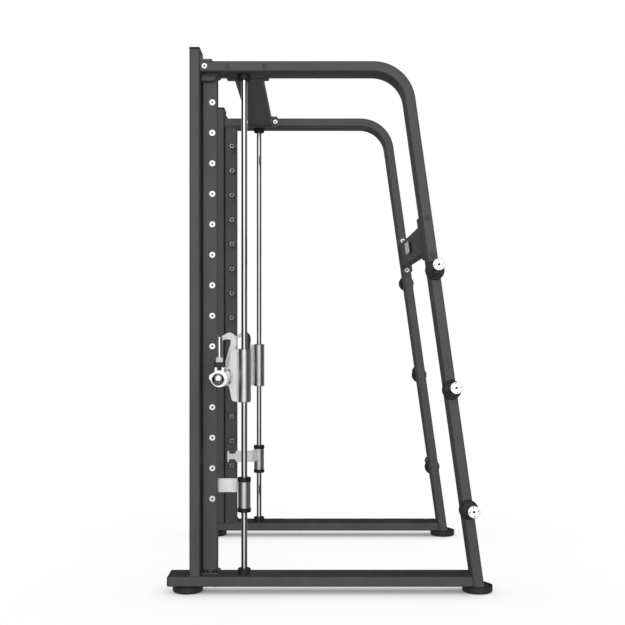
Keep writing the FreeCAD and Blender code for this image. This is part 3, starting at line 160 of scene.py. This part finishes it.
class Shader(Tree):
    """One material, with its patterns laid out in object coordinates, which are the machine's."""

    def __init__(self, name):
        self.material = bpy.data.materials.new(name)
        self.material.use_nodes = True
        super().__init__(self.material.node_tree)
        self.bsdf = self.tree.nodes["Principled BSDF"]
        self.coords = self.add("ShaderNodeTexCoord").outputs["Object"]

    def mapped(self, scale):
        node = self.add("ShaderNodeMapping")
        self.link(self.coords, node.inputs["Vector"])
        node.inputs["Scale"].default_value = scale
        return node.outputs["Vector"]

    def noise(self, scale, detail=3.0, stretch=(1, 1, 1)):
        node = self.add("ShaderNodeTexNoise")
        self.link(self.mapped(stretch), node.inputs["Vector"])
        node.inputs["Scale"].default_value = scale
        node.inputs["Detail"].default_value = detail
        return node.outputs["Fac"]

    def cloud(self, scale):
        """Soft patches between 0 and 1."""
        return self.span(self.noise(scale, 4.0), 0.3, 0.7)

    def cells(self, scale):
        node = self.add("ShaderNodeTexVoronoi")
        self.link(self.coords, node.inputs["Vector"])
        node.inputs["Scale"].default_value = scale
        return node.outputs["Distance"]

    def span(self, value, low, high, to_low=0.0, to_high=1.0):
        """The value's range from low to high is stretched to a new range and clamped there."""
        node = self.add("ShaderNodeMapRange")
        self.link(value, node.inputs["Value"])
        node.inputs["From Min"].default_value = low
        node.inputs["From Max"].default_value = high
        node.inputs["To Min"].default_value = to_low
        node.inputs["To Max"].default_value = to_high
        return node.outputs["Result"]

    def mix(self, factor, first, second):
        node = self.add("ShaderNodeMix", data_type="RGBA")
        self.put(node.inputs["Factor"], factor)
        self.put(node.inputs["A"], first)
        self.put(node.inputs["B"], second)
        return node.outputs["Result"]

    def axis(self, name):
        node = self.add("ShaderNodeSeparateXYZ")
        self.link(self.coords, node.inputs["Vector"])
        return node.outputs[name]

    def edges(self, radius, strength):
        """1 where the surface turns a sharp corner, 0 on its flats."""
        bevel = self.add("ShaderNodeBevel", samples=4)
        bevel.inputs["Radius"].default_value = radius
        geometry = self.add("ShaderNodeNewGeometry")
        dot = self.add("ShaderNodeVectorMath", operation="DOT_PRODUCT")
        self.link(bevel.outputs["Normal"], dot.inputs[0])
        self.link(geometry.outputs["Normal"], dot.inputs[1])
        return self.span(dot.outputs["Value"], 1.0 - strength, 1.0 - strength * 0.1, 1.0, 0.0)

    def bump(self, height, distance, strength, under=None):
        node = self.add("ShaderNodeBump")
        node.inputs["Strength"].default_value = strength
        node.inputs["Distance"].default_value = distance
        self.link(height, node.inputs["Height"])
        if under is not None:
            self.link(under, node.inputs["Normal"])
        return node.outputs["Normal"]

    def finish(self, colour, roughness, normal, **fixed):
        self.link(colour, self.bsdf.inputs["Base Color"])
        self.link(roughness, self.bsdf.inputs["Roughness"])
        self.link(normal, self.bsdf.inputs["Normal"])
        for key, value in fixed.items():
            self.bsdf.inputs[key.replace("_", " ")].default_value = value
        return self.material


def grey(value, tint=(1.0, 1.0, 1.0)):
    """A neutral colour of one brightness, or one with a slight tint."""
    return (value * tint[0], value * tint[1], value * tint[2], 1.0)


COOL = (0.98, 1.0, 1.03)
WARM = (1.05, 1.0, 0.92)


# ------------------------------------------------------------------ materials
def powder_coat(name, value, roughness=0.42):
    """Satin powder coat: orange peel, cloudy tone, rubbed corners and dust near the floor."""
    s = Shader(name)
    base = s.mix(s.cloud(5.0), grey(value * 0.92, COOL), grey(value * 1.08, COOL))
    speck = s.span(s.noise(900.0, 1.0), 0.62, 0.75, 0.0, 0.35)
    base = s.mix(speck, base, grey(value * 1.7, COOL))
    rub = s.maths("MULTIPLY", s.edges(0.0022, 0.35), s.span(s.noise(60.0, 4.0), 0.4, 0.7))
    base = s.mix(s.maths("MULTIPLY", rub, 0.15), base, grey(value * 3.0, COOL))
    low = s.span(s.axis("Z"), 0.0, 0.22, 1.0, 0.0)
    dust = s.maths("MULTIPLY", low, s.span(s.noise(18.0, 5.0), 0.45, 0.75, 0.0, 0.22))
    base = s.mix(dust, base, grey(value * 2.2, WARM))
    scuff = s.span(s.noise(14.0, 5.0, (1, 1, 6)), 0.6, 0.72)
    rough = s.span(scuff, 0.0, 1.0, roughness, roughness + 0.12)
    peel = s.bump(s.noise(420.0, 2.0), 0.0004, 0.35)
    normal = s.bump(s.noise(1600.0, 1.0), 0.0002, 0.25, peel)
    return s.finish(base, rough, normal)


def light_coat(name, value):
    """Light satin paint on plate steel, with rubbed corners and fine scratches."""
    s = Shader(name)
    base = s.mix(s.cloud(14.0), grey(value * 0.95), grey(value))
    scratch = s.span(s.noise(150.0, 3.0, (1, 1, 0.06)), 0.64, 0.7, 0.0, 0.4)
    base = s.mix(scratch, base, grey(value * 0.6))
    rub = s.maths("MULTIPLY", s.edges(0.0015, 0.35), s.span(s.noise(90.0, 4.0), 0.35, 0.65))
    base = s.mix(s.maths("MULTIPLY", rub, 0.5), base, grey(value * 0.55, COOL))
    rough = s.span(s.noise(40.0, 4.0), 0.3, 0.7, 0.28, 0.42)
    normal = s.bump(s.noise(700.0, 2.0), 0.0003, 0.25)
    return s.finish(base, rough, normal)


def polished(name, value, roughness, lines=(1, 1, 1), knurl=None, nut=None):
    """Chrome with faint smears and hairline marks.

    knurl gives the two distances from the machine's middle between which the bar is knurled, and
    nut the two heights above the bar between which the piece is a duller zinc nut.
    """
    s = Shader(name)
    smear = s.span(s.noise(22.0, 5.0, (1, 1, 0.4)), 0.4, 0.75)
    base = s.mix(smear, grey(value, COOL), grey(value * 0.9, COOL))
    metallic = 1.0
    hair = s.span(s.noise(500.0, 2.0, lines), 0.64, 0.74)
    rough = s.span(s.maths("ADD", smear, s.maths("MULTIPLY", hair, 0.5)), 0.0, 1.5,
                   roughness, roughness + 0.05)
    normal = s.bump(s.noise(40.0, 2.0, lines), 0.0001, 0.06)
    if nut:
        above = s.maths("SUBTRACT", s.axis("Z"), BAR_Z)
        inside = s.maths("MULTIPLY", s.maths("GREATER_THAN", above, nut[0]),
                         s.maths("LESS_THAN", above, nut[1]))
        rough = s.maths("ADD", rough, s.maths("MULTIPLY", inside, 0.3))
        metallic = s.maths("SUBTRACT", 1.0, s.maths("MULTIPLY", inside, 0.8))
    if knurl:
        offset = s.add("ShaderNodeVectorMath", operation="SUBTRACT")
        s.link(s.coords, offset.inputs[0])
        offset.inputs[1].default_value = (0.0, BAR_Y, BAR_Z)
        part = s.add("ShaderNodeSeparateXYZ")
        s.link(offset.outputs["Vector"], part.inputs["Vector"])
        angle = s.maths("ARCTAN2", part.outputs["Y"], part.outputs["Z"])
        turn = s.maths("MULTIPLY", angle, KNURL_RIDGES_ROUND)
        along = s.maths("MULTIPLY", part.outputs["X"], KNURL_WAVE_ALONG)
        one = s.maths("SINE", s.maths("ADD", along, turn))
        other = s.maths("SINE", s.maths("SUBTRACT", along, turn))
        ridge = s.maths("MULTIPLY", one, other)
        away = s.maths("ABSOLUTE", part.outputs["X"])
        inside = s.maths("MULTIPLY", s.maths("GREATER_THAN", away, knurl[0]),
                         s.maths("LESS_THAN", away, knurl[1]))
        ridge = s.maths("MULTIPLY", ridge, inside)
        normal = s.bump(ridge, 0.0006, 0.9, normal)
        rough = s.maths("ADD", rough, s.maths("MULTIPLY", inside, 0.18))
        base = s.mix(s.maths("MULTIPLY", inside, 0.35), base, grey(value * 0.45, COOL))
    s.put(s.bsdf.inputs["Metallic"], metallic)
    return s.finish(base, rough, normal)


def turned(name, value, roughness, across=(1, 1, 40)):
    """Machined steel: fine turning rings, close together along across, with smears and nicks."""
    s = Shader(name)
    rings = s.noise(26.0, 4.0, across)
    cloud = s.span(s.noise(16.0, 4.0), 0.3, 0.75)
    base = s.mix(cloud, grey(value), grey(value * 0.86, COOL))
    base = s.mix(s.span(rings, 0.35, 0.7, 0.0, 0.25), base, grey(value * 0.82))
    nick = s.maths("MULTIPLY", s.span(s.cells(90.0), 0.03, 0.05, 0.4, 0.0),
                   s.span(s.noise(9.0, 2.0), 0.58, 0.66))
    base = s.mix(nick, base, grey(value * 0.5))
    rough = s.span(rings, 0.3, 0.7, roughness - 0.05, roughness + 0.08)
    normal = s.bump(rings, 0.00035, 0.3)
    return s.finish(base, rough, normal, Metallic=1.0)


def plastic(name, value, roughness=0.42, grain=1400.0, depth=0.0003, gloss=0.5):
    """Black moulded plastic with a fine grain and slightly greyed corners."""
    s = Shader(name)
    base = s.mix(s.cloud(20.0), grey(value * 0.85), grey(value * 1.2))
    rub = s.maths("MULTIPLY", s.edges(0.0015, 0.4), s.span(s.noise(80.0, 3.0), 0.35, 0.7))
    base = s.mix(s.maths("MULTIPLY", rub, 0.3), base, grey(value * 4.0))
    rough = s.span(s.noise(60.0, 4.0), 0.3, 0.7, roughness - 0.06, roughness + 0.08)
    return s.finish(base, rough, s.bump(s.noise(grain, 1.0), depth, 0.4), Specular_IOR_Level=gloss)


def rubber(name, value):
    """Matt black rubber with dusty patches and mould texture."""
    s = Shader(name)
    dust = s.span(s.noise(25.0, 5.0), 0.5, 0.8, 0.0, 0.4)
    base = s.mix(dust, grey(value), grey(value * 3.0, WARM))
    rough = s.span(s.noise(50.0, 4.0), 0.3, 0.7, 0.36, 0.52)
    pores = s.bump(s.noise(900.0, 2.0), 0.0005, 0.5)
    return s.finish(base, rough, s.bump(s.noise(70.0, 3.0), 0.0008, 0.25, pores))


def zinc(name, value):
    """Bright zinc plate on fasteners: mottled crystals and soft scratches."""
    s = Shader(name)
    crystal = s.span(s.cells(420.0), 0.1, 0.6)
    base = s.mix(crystal, grey(value, COOL), grey(value * 0.82, COOL))
    rough = s.span(s.noise(180.0, 3.0), 0.3, 0.7, 0.2, 0.34)
    return s.finish(base, rough, s.bump(s.noise(600.0, 2.0), 0.0002, 0.4), Metallic=1.0)


def bronze(name):
    """Sintered bronze with open pores and a film of oil."""
    s = Shader(name)
    cloud = s.cloud(120.0)
    base = s.mix(cloud, (0.42, 0.27, 0.12, 1.0), (0.55, 0.38, 0.2, 1.0))
    rough = s.span(cloud, 0.0, 1.0, 0.3, 0.5)
    return s.finish(base, rough, s.bump(s.cells(1500.0), 0.0003, 0.4), Metallic=1.0)


# One material for each slot that the record names.
MATERIALS = {
    "frame_paint": powder_coat("frame_paint", 0.075),
    "upright_paint": powder_coat("upright_paint", 0.068),
    "peg_chrome": turned("peg_chrome", 0.82, 0.16, (40, 1, 1)),
    "rod_chrome": polished("rod_chrome", 0.86, 0.03, (1, 1, 0.03)),
    "cap_plastic": plastic("cap_plastic", 0.012, gloss=0.2),
    "socket_black": powder_coat("socket_black", 0.02, 0.4),
    "bolt_steel": zinc("bolt_steel", 0.86),
    "foot_rubber": rubber("foot_rubber", 0.03),
    "nameplate_metal": light_coat("nameplate_metal", 0.85),
    "bracket_black": powder_coat("bracket_black", 0.018, 0.4),
    "plug_black": plastic("plug_black", 0.045, 0.4),
    "bolt_black": plastic("bolt_black", 0.02, 0.35),
    "disc_black": plastic("disc_black", 0.014, 0.38),
    "storage_steel": turned("storage_steel", 0.62, 0.22, (40, 1, 1)),
    "storage_cap_metal": turned("storage_cap_metal", 0.97, 0.3, (1, 40, 40)),
    "housing_steel": turned("housing_steel", 0.95, 0.34),
    "plate_paint": light_coat("plate_paint", 0.92),
    "liner_plastic": plastic("liner_plastic", 0.03),
    "bearing_steel": turned("bearing_steel", 0.95, 0.3, (40, 1, 1)),
    "bar_chrome": polished("bar_chrome", 0.8, 0.07, (0.03, 1, 1), BAR_KNURL),
    "hook_steel": light_coat("hook_steel", 0.9),
    "hook_cover_plastic": plastic("hook_cover_plastic", 0.012, 0.3, 1800.0, 0.0002),
    "collar_black": powder_coat("collar_black", 0.018, 0.38),
    "sleeve_chrome": turned("sleeve_chrome", 0.82, 0.14, (40, 1, 1)),
    "bush_bronze": bronze("bush_bronze"),
    "sleeve_cap_metal": polished("sleeve_cap_metal", 0.88, 0.02),
    "lock_alloy": turned("lock_alloy", 0.93, 0.24, (40, 1, 1)),
    "lock_black": powder_coat("lock_black", 0.015, 0.4),
    "grip_chrome": polished("grip_chrome", 0.88, 0.05, (1, 1, 0.03), nut=GRIP_NUT),
    "stop_steel": turned("stop_steel", 0.96, 0.38),
    "stop_paint": light_coat("stop_paint", 0.96),
    "stop_rubber": rubber("stop_rubber", 0.012),
}


def paint(obj, material):
    """The whole object takes one material."""
    obj.data.materials.clear()
    obj.data.materials.append(MATERIALS[material])
    for polygon in obj.data.polygons:
        polygon.material_index = 0


for part in frame["record"]["subparts"]:
    paint(NODES[part["node"]], part["material_slot"])


# ------------------------------------------------------------------ small pieces
def piece(name, bm, material, body, smooth_deg=40.0):
    """A finished mesh becomes one object that rides on a body."""
    mesh = bpy.data.meshes.new(name)
    bmesh.ops.recalc_face_normals(bm, faces=bm.faces)
    bm.to_mesh(mesh)
    bm.free()
    obj = bpy.data.objects.new(name, mesh)
    bpy.context.scene.collection.objects.link(obj)
    mesh.materials.append(MATERIALS[material])
    mesh.shade_smooth()
    mesh.set_sharp_from_angle(angle=math.radians(smooth_deg))
    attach(obj, body)


def lathe(bm, start, axis, profile, segments):
    """A turned solid: profile is (distance along the axis, radius) from one end to the other."""
    axis = axis.normalized()
    side = axis.orthogonal().normalized()
    other = axis.cross(side)
    rings = []
    for along, radius in profile:
        centre = start + axis * along
        if radius <= 0:
            rings.append([bm.verts.new(centre)])
            continue
        ring = []
        for step in range(segments):
            angle = 2 * math.pi * step / segments
            out = side * math.cos(angle) + other * math.sin(angle)
            ring.append(bm.verts.new(centre + out * radius))
        rings.append(ring)
    for low, high in zip(rings, rings[1:]):
        for step in range(segments):
            after = (step + 1) % segments
            corners = []
            for ring, index in ((low, step), (low, after), (high, after), (high, step)):
                vert = ring[index % len(ring)]
                if vert not in corners:
                    corners.append(vert)
            bm.faces.new(corners)
    for ring in (rings[0], rings[-1]):
        if len(ring) > 2:
            bm.faces.new(ring)


def rounded_loop(centre, u_dir, v_dir, u_size, v_size, corner):
    """Points and outward directions round a rectangle with rounded corners."""
    loop = []
    half_u = u_size / 2 - corner
    half_v = v_size / 2 - corner
    places = ((1, 1, 0), (-1, 1, 90), (-1, -1, 180), (1, -1, 270))
    for index, (u_sign, v_sign, start_deg) in enumerate(places):
        arc_steps = max(3, int(corner * math.pi / 2 / WELD_STEP))
        pivot = centre + u_dir * (u_sign * half_u) + v_dir * (v_sign * half_v)
        for number in range(arc_steps + 1):
            angle = math.radians(start_deg + 90.0 * number / arc_steps)
            out = u_dir * math.cos(angle) + v_dir * math.sin(angle)
            loop.append((pivot + out * corner, out))
        last = loop[-1]
        following = places[(index + 1) % 4]
        next_pivot = centre + u_dir * (following[0] * half_u) + v_dir * (following[1] * half_v)
        length = (next_pivot - pivot).length
        line_steps = int(length / WELD_STEP)
        for number in range(1, line_steps):
            share = number / line_steps
            loop.append((last[0] + (next_pivot - pivot) * share, last[1]))
    return loop


def weld(bm, loop, lift):
    """A fillet weld along a closed loop: its toe lies on the face that lift points out of."""
    rings = []
    for index, (point, out) in enumerate(loop):
        size = WELD_SIZE * (1.0 + WELD_RIPPLE * math.sin(index * WELD_RIPPLE_TURN)
                            + WELD_WAVE * math.sin(index * WELD_WAVE_TURN))
        rings.append([bm.verts.new(point + out * (u * size) + lift * (v * size))
                      for u, v in WELD_PROFILE])
    count = len(WELD_PROFILE)
    for index, ring in enumerate(rings):
        following = rings[(index + 1) % len(rings)]
        for corner in range(count):
            after = (corner + 1) % count
            bm.faces.new((ring[corner], ring[after], following[after], following[corner]))


def leg_centre(height):
    """A point on the middle line of a leg, at X = 0."""
    low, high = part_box("front_cross_tube")
    anchor = (low + high) / 2
    along = (anchor.z - height) / math.cos(LEAN)
    return Vector((0, anchor.y, anchor.z)) + LEG_DOWN * along


def tube_weld(bm, centre, u_dir, v_dir, v_size, lift):
    """A weld round the end of a wide tube, TUBE_WIDTH by v_size."""
    weld(bm, rounded_loop(centre, u_dir, v_dir, TUBE_WIDTH, v_size, TUBE_CORNER), lift)


def carriage_bead(bm, foot, height, lift):
    """A straight upright bead in the corner between a housing and one face of its plate."""
    last = None
    for step in range(CARRIAGE_BEAD_STEPS + 1):
        swell = 1.0 + CARRIAGE_BEAD_RIPPLE * math.sin(step * WELD_RIPPLE_TURN)
        if step in (0, CARRIAGE_BEAD_STEPS):
            swell *= CARRIAGE_BEAD_TAPER
        size = CARRIAGE_BEAD_SIZE * swell
        at = foot + UP * (height * step / CARRIAGE_BEAD_STEPS)
        ring = [bm.verts.new(at + lift * (a * size) - FORWARD * (b * size))
                for a, b in CARRIAGE_BEAD_PROFILE]
        if last:
            for corner in range(len(ring)):
                after = (corner + 1) % len(ring)
                bm.faces.new((last[corner], last[after], ring[after], ring[corner]))
        else:
            bm.faces.new(ring)
        last = ring
    bm.faces.new(last)


def add_welds():
    """Painted weld beads where tubes meet tubes or plates."""
    for side, sign in SIDES:
        bm = bmesh.new()
        low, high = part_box(f"back_upright_{side}")
        foot = Vector((sign * FRAME_MID_X, (low.y + high.y) / 2, BEAM_TOP_Z))
        tube_weld(bm, foot, ACROSS, FORWARD, TUBE_DEPTH, UP)
        top = Vector((sign * FRAME_MID_X, high.y, ARCH_TOP_Z - TUBE_DEPTH / 2))
        tube_weld(bm, top, ACROSS, UP, TUBE_DEPTH, FORWARD)
        piece(f"welds_back_upright_{side}", bm, "frame_paint", "frame", WELD_SMOOTH_DEG)

        bm = bmesh.new()
        low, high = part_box(f"peg_upright_{side}")
        middle = (low + high) / 2
        width = high.x - low.x
        for height, lift in ((low.z, UP), (high.z, -UP)):
            end = Vector((middle.x, middle.y, height))
            weld(bm, rounded_loop(end, ACROSS, FORWARD, width, width, PEG_UPRIGHT_CORNER), lift)
        piece(f"welds_peg_upright_{side}", bm, "frame_paint", "frame", WELD_SMOOTH_DEG)

        bm = bmesh.new()
        leg_rear = leg_centre(BEAM_TOP_Z - BEAM_HEIGHT / 2) + LEG_REAR * (TUBE_DEPTH / 2)
        joint = Vector((sign * FRAME_MID_X, leg_rear.y, leg_rear.z))
        slope = Vector((0, -LEG_DOWN.y, -LEG_DOWN.z))
        tube_weld(bm, joint, ACROSS, slope, BEAM_HEIGHT / math.cos(LEAN), LEG_REAR)
        piece(f"welds_leg_{side}", bm, "frame_paint", "frame", WELD_SMOOTH_DEG)

        bm = bmesh.new()
        plate_x = sign * (FRAME_IN_X - CROSS_PLATE_THICKNESS)
        for box, u_dir, v_dir in ((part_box("top_cross_tube"), FORWARD, UP),
                                  (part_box("front_cross_tube"), LEG_DOWN, LEG_REAR)):
            middle = (box[0] + box[1]) / 2
            at = Vector((plate_x, middle.y, middle.z))
            loop = rounded_loop(at, u_dir, v_dir, CROSS_TUBE_WIDTH, CROSS_TUBE_DEPTH, TUBE_CORNER)
            weld(bm, loop, ACROSS * -sign)
        piece(f"welds_cross_tubes_{side}", bm, "frame_paint", "frame", WELD_SMOOTH_DEG)

        bm = bmesh.new()
        low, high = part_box(f"carriage_plate_{side}")
        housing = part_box(f"carriage_housing_{side}")
        touch_y = housing[0].y + CARRIAGE_BEAD_SINK
        height = high.z - low.z - 2 * CARRIAGE_BEAD_END
        for face_x, lift in ((low.x, -ACROSS), (high.x, ACROSS)):
            carriage_bead(bm, Vector((face_x, touch_y, low.z + CARRIAGE_BEAD_END)), height, lift)
        piece(f"welds_carriage_{side}", bm, "plate_paint", "carriage", WELD_SMOOTH_DEG)


def add_storage_marks():
    """The centre screw and four small studs in the end cap of each storage peg."""
    for side, sign in SIDES:
        bm = bmesh.new()
        studs = bmesh.new()
        along = Vector((sign * math.cos(STORAGE_TILT), 0, math.sin(STORAGE_TILT)))
        up = LEG_DOWN - along * LEG_DOWN.dot(along)
        up.normalize()
        across = along.cross(up)
        for height in STORAGE_HEIGHTS:
            seat = leg_centre(height)
            face = Vector((sign * FRAME_OUT_X, seat.y, seat.z)) + along * STORAGE_REACH
            lathe(bm, face, along, CAP_SCREW_PROFILE, 24)
            for direction in (up, across, -up, -across):
                lathe(studs, face + direction * STORAGE_STUD_CIRCLE, along, CAP_STUD_PROFILE, 16)
        piece(f"storage_cap_screws_{side}", bm, "disc_black", "frame")
        piece(f"storage_cap_studs_{side}", studs, "plug_black", "frame")


def add_shade_cup(bm, centre, axis, cup_size):
    """A short black cup of painted shade: a shallow cup that closes a socket or bore below its rim,
    dark as the hollow's shadow.
    """
    radius, depth = cup_size
    lathe(bm, centre - axis * depth, axis,
          ((0, radius), (depth * 0.75, radius), (depth * 0.75, radius * 0.86),
           (depth * 0.3, radius * 0.8), (depth * 0.3, 0)), 20)


def add_fastener_details():
    """Painted shade as black cups in the pegs' and side bolts' sockets and bores, and dark centres
    in the cross bolts' heads.
    """
    for side, sign in SIDES:
        low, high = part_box(f"rack_pegs_{side}")
        head_x = high.x if sign > 0 else low.x
        free_x = low.x if sign > 0 else high.x
        middle_y = (low.y + high.y) / 2
        # painted shade: black cups in the peg heads' sockets and the bores at the pegs' free ends
        bm = bmesh.new()
        for step in range(PEG_COUNT):
            z = high.z - PEG_HEAD_RADIUS - step * PEG_PITCH
            add_shade_cup(bm, Vector((head_x, middle_y, z)), ACROSS * sign, SOCKET_SHADE_CUP)
            add_shade_cup(bm, Vector((free_x, middle_y, z)), ACROSS * -sign, BORE_SHADE_CUP)
        piece(f"rack_peg_shade_cups_{side}", bm, "bolt_black", "frame")

        low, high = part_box("frame_bolts")
        head = Vector((high.x if sign > 0 else low.x, BACK_UPRIGHT_FRONT_Y + SIDE_HEAD_OFFSET,
                       ARCH_TOP_Z - TUBE_DEPTH / 2))
        # painted shade: a black cup in the side bolt head's socket
        bm = bmesh.new()
        add_shade_cup(bm, head, ACROSS * sign, SOCKET_SHADE_CUP)
        piece(f"side_head_shade_cup_{side}", bm, "bolt_black", "frame")

        bm = bmesh.new()
        face_x = sign * (FRAME_IN_X - CROSS_PLATE_THICKNESS - BOLT_STACK)
        for node, along in (("top_cross_tube", FORWARD), ("front_cross_tube", LEG_DOWN)):
            low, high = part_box(node)
            middle = (low + high) / 2
            for way in (-1, 1):
                offset = along * (way * CROSS_BOLT_SPACING / 2)
                seat = Vector((face_x, middle.y, middle.z)) + offset
                lathe(bm, seat, ACROSS * -sign, BOLT_CENTRE_PROFILE, 24)
        piece(f"bolt_centres_{side}", bm, "bolt_black", "frame")


add_welds()
add_storage_marks()
add_fastener_details()


# ------------------------------------------------------------------ floor, light and camera
def add_floor():
    """A pale floor whose only darkening is the soft shade where the machine touches it."""
    mesh = bpy.data.meshes.new("floor")
    corners = [(u * FLOOR_REACH, v * FLOOR_REACH, 0)
               for u, v in ((-1, -1), (1, -1), (1, 1), (-1, 1))]
    mesh.from_pydata(corners, [], [(0, 1, 2, 3)])
    floor = bpy.data.objects.new("floor", mesh)
    bpy.context.scene.collection.objects.link(floor)
    s = Shader("pale_floor")
    shades = []
    for reach, strength in FLOOR_SHADES:
        touch = s.add("ShaderNodeAmbientOcclusion", samples=12)
        touch.inputs["Distance"].default_value = reach
        shades.append(s.maths("POWER", touch.outputs["AO"], strength))
    glow = s.add("ShaderNodeEmission")
    s.link(s.maths("MULTIPLY", *shades), glow.inputs["Strength"])
    s.link(glow.outputs["Emission"], s.tree.nodes["Material Output"].inputs["Surface"])
    mesh.materials.append(s.material)
    floor.visible_diffuse = False
    floor.visible_glossy = False
    floor.visible_shadow = False


def add_world():
    """Studio surround: a bright front, dark flanks with dim strips, and white where it shows.

    facing runs from 0 on the machine's far side to 1 on the photograph's side, and height from 0
    straight down to 1 straight up.
    """
    world = bpy.data.worlds.new("studio")
    bpy.context.scene.world = world
    world.use_nodes = True
    w = Tree(world.node_tree)
    w.tree.nodes.clear()

    def ramp(value, stops):
        node = w.add("ShaderNodeValToRGB")
        node.color_ramp.interpolation = "EASE"
        elements = node.color_ramp.elements
        while len(elements) < len(stops):
            elements.new(0.5)
        for element, (position, brightness) in zip(elements, stops):
            element.position = position
            element.color = grey(brightness)
        w.link(value, node.inputs["Fac"])
        return node.outputs["Color"]

    parts = w.add("ShaderNodeSeparateXYZ")
    w.link(w.add("ShaderNodeTexCoord").outputs["Generated"], parts.inputs["Vector"])
    x, y, z = (parts.outputs[name] for name in "XYZ")
    flat = w.maths("SQRT", w.maths("ADD", w.maths("MULTIPLY", x, x), w.maths("MULTIPLY", y, y)))
    towards = w.maths("DIVIDE", x, w.maths("MAXIMUM", flat, 0.0001))
    facing = w.maths("ADD", w.maths("MULTIPLY", towards, 0.5), 0.5)
    height = w.maths("ADD", w.maths("MULTIPLY", z, 0.5), 0.5)

    # The walls: their light round the machine, and how it changes with height.
    around = ramp(facing, ((0.0, 0.03), (0.03, 0.05), (0.07, 0.6), (0.12, 0.6), (0.17, 0.03),
                           (0.25, 0.012), (0.33, 0.24), (0.52, 0.24), (0.60, 0.012), (0.85, 0.012),
                           (0.93, 0.42), (1.0, 1.4)))
    level = ramp(height, ((0.0, 0.0), (0.33, 0.05), (0.41, 0.72), (0.52, 1.0), (0.62, 1.5),
                          (0.74, 1.0), (0.82, 0.35), (1.0, 0.1)))
    # Faint light from overhead and off the ground, the same all round.
    dome = ramp(height, ((0.0, 0.02), (0.45, 0.0), (0.66, 0.0), (0.82, 0.05), (1.0, 0.03)))
    ground = ramp(height, ((0.0, 0.06), (0.27, 0.09), (0.37, 0.0), (1.0, 0.0)))
    # High soft boxes before and behind the machine.
    beside = ramp(facing, ((0.0, 0.0), (0.18, 0.0), (0.34, 1.0), (0.66, 1.0), (0.82, 0.0)))
    upper = ramp(height, ((0.0, 0.0), (0.64, 0.0), (0.70, 0.22), (0.86, 0.22), (0.94, 0.0)))
    total = w.maths("ADD", w.maths("MULTIPLY", around, level), w.maths("ADD", dome, ground))
    total = w.maths("ADD", total, w.maths("MULTIPLY", beside, upper))

    colour = w.add("ShaderNodeCombineColor")
    for name in ("Red", "Green", "Blue"):
        w.link(total, colour.inputs[name])
    studio = w.add("ShaderNodeBackground")
    w.link(colour.outputs["Color"], studio.inputs["Color"])
    white = w.add("ShaderNodeBackground")
    white.inputs["Color"].default_value = (1, 1, 1, 1)
    choose = w.add("ShaderNodeMixShader")
    w.link(w.add("ShaderNodeLightPath").outputs["Is Camera Ray"], choose.inputs["Fac"])
    w.link(studio.outputs["Background"], choose.inputs[1])
    w.link(white.outputs["Background"], choose.inputs[2])
    w.link(choose.outputs["Shader"], w.add("ShaderNodeOutputWorld").inputs["Surface"])


def add_light(name, place, aim_z, power):
    """A soft square light that faces the machine's middle line."""
    data = bpy.data.lights.new(name, "AREA")
    data.size = LIGHT_SIZE
    data.energy = power
    light = bpy.data.objects.new(name, data)
    light.location = place
    aim = Vector((0.0, 0.0, aim_z)) - Vector(place)
    light.rotation_euler = aim.to_track_quat("-Z", "Y").to_euler()
    light.visible_camera = False
    light.visible_glossy = False
    bpy.context.scene.collection.objects.link(light)


def add_camera():
    """The camera looks across the machine, level, at the right side frame."""
    data = bpy.data.cameras.new("camera")
    data.sensor_width = 36.0
    data.lens = CAMERA_LENS_MM
    data.shift_x, data.shift_y = CAMERA_SHIFT
    data.clip_end = 200.0
    camera = bpy.data.objects.new("camera", data)
    camera.location = (FRAME_OUT_X + CAMERA_DISTANCE, CAMERA_Y, CAMERA_Z)
    camera.rotation_euler = (math.radians(90), 0, math.radians(90))
    bpy.context.scene.collection.objects.link(camera)
    bpy.context.scene.camera = camera


add_floor()
add_world()
for light in LIGHTS:
    add_light(*light)
add_camera()
bpy.context.scene.view_settings.view_transform = "Standard"
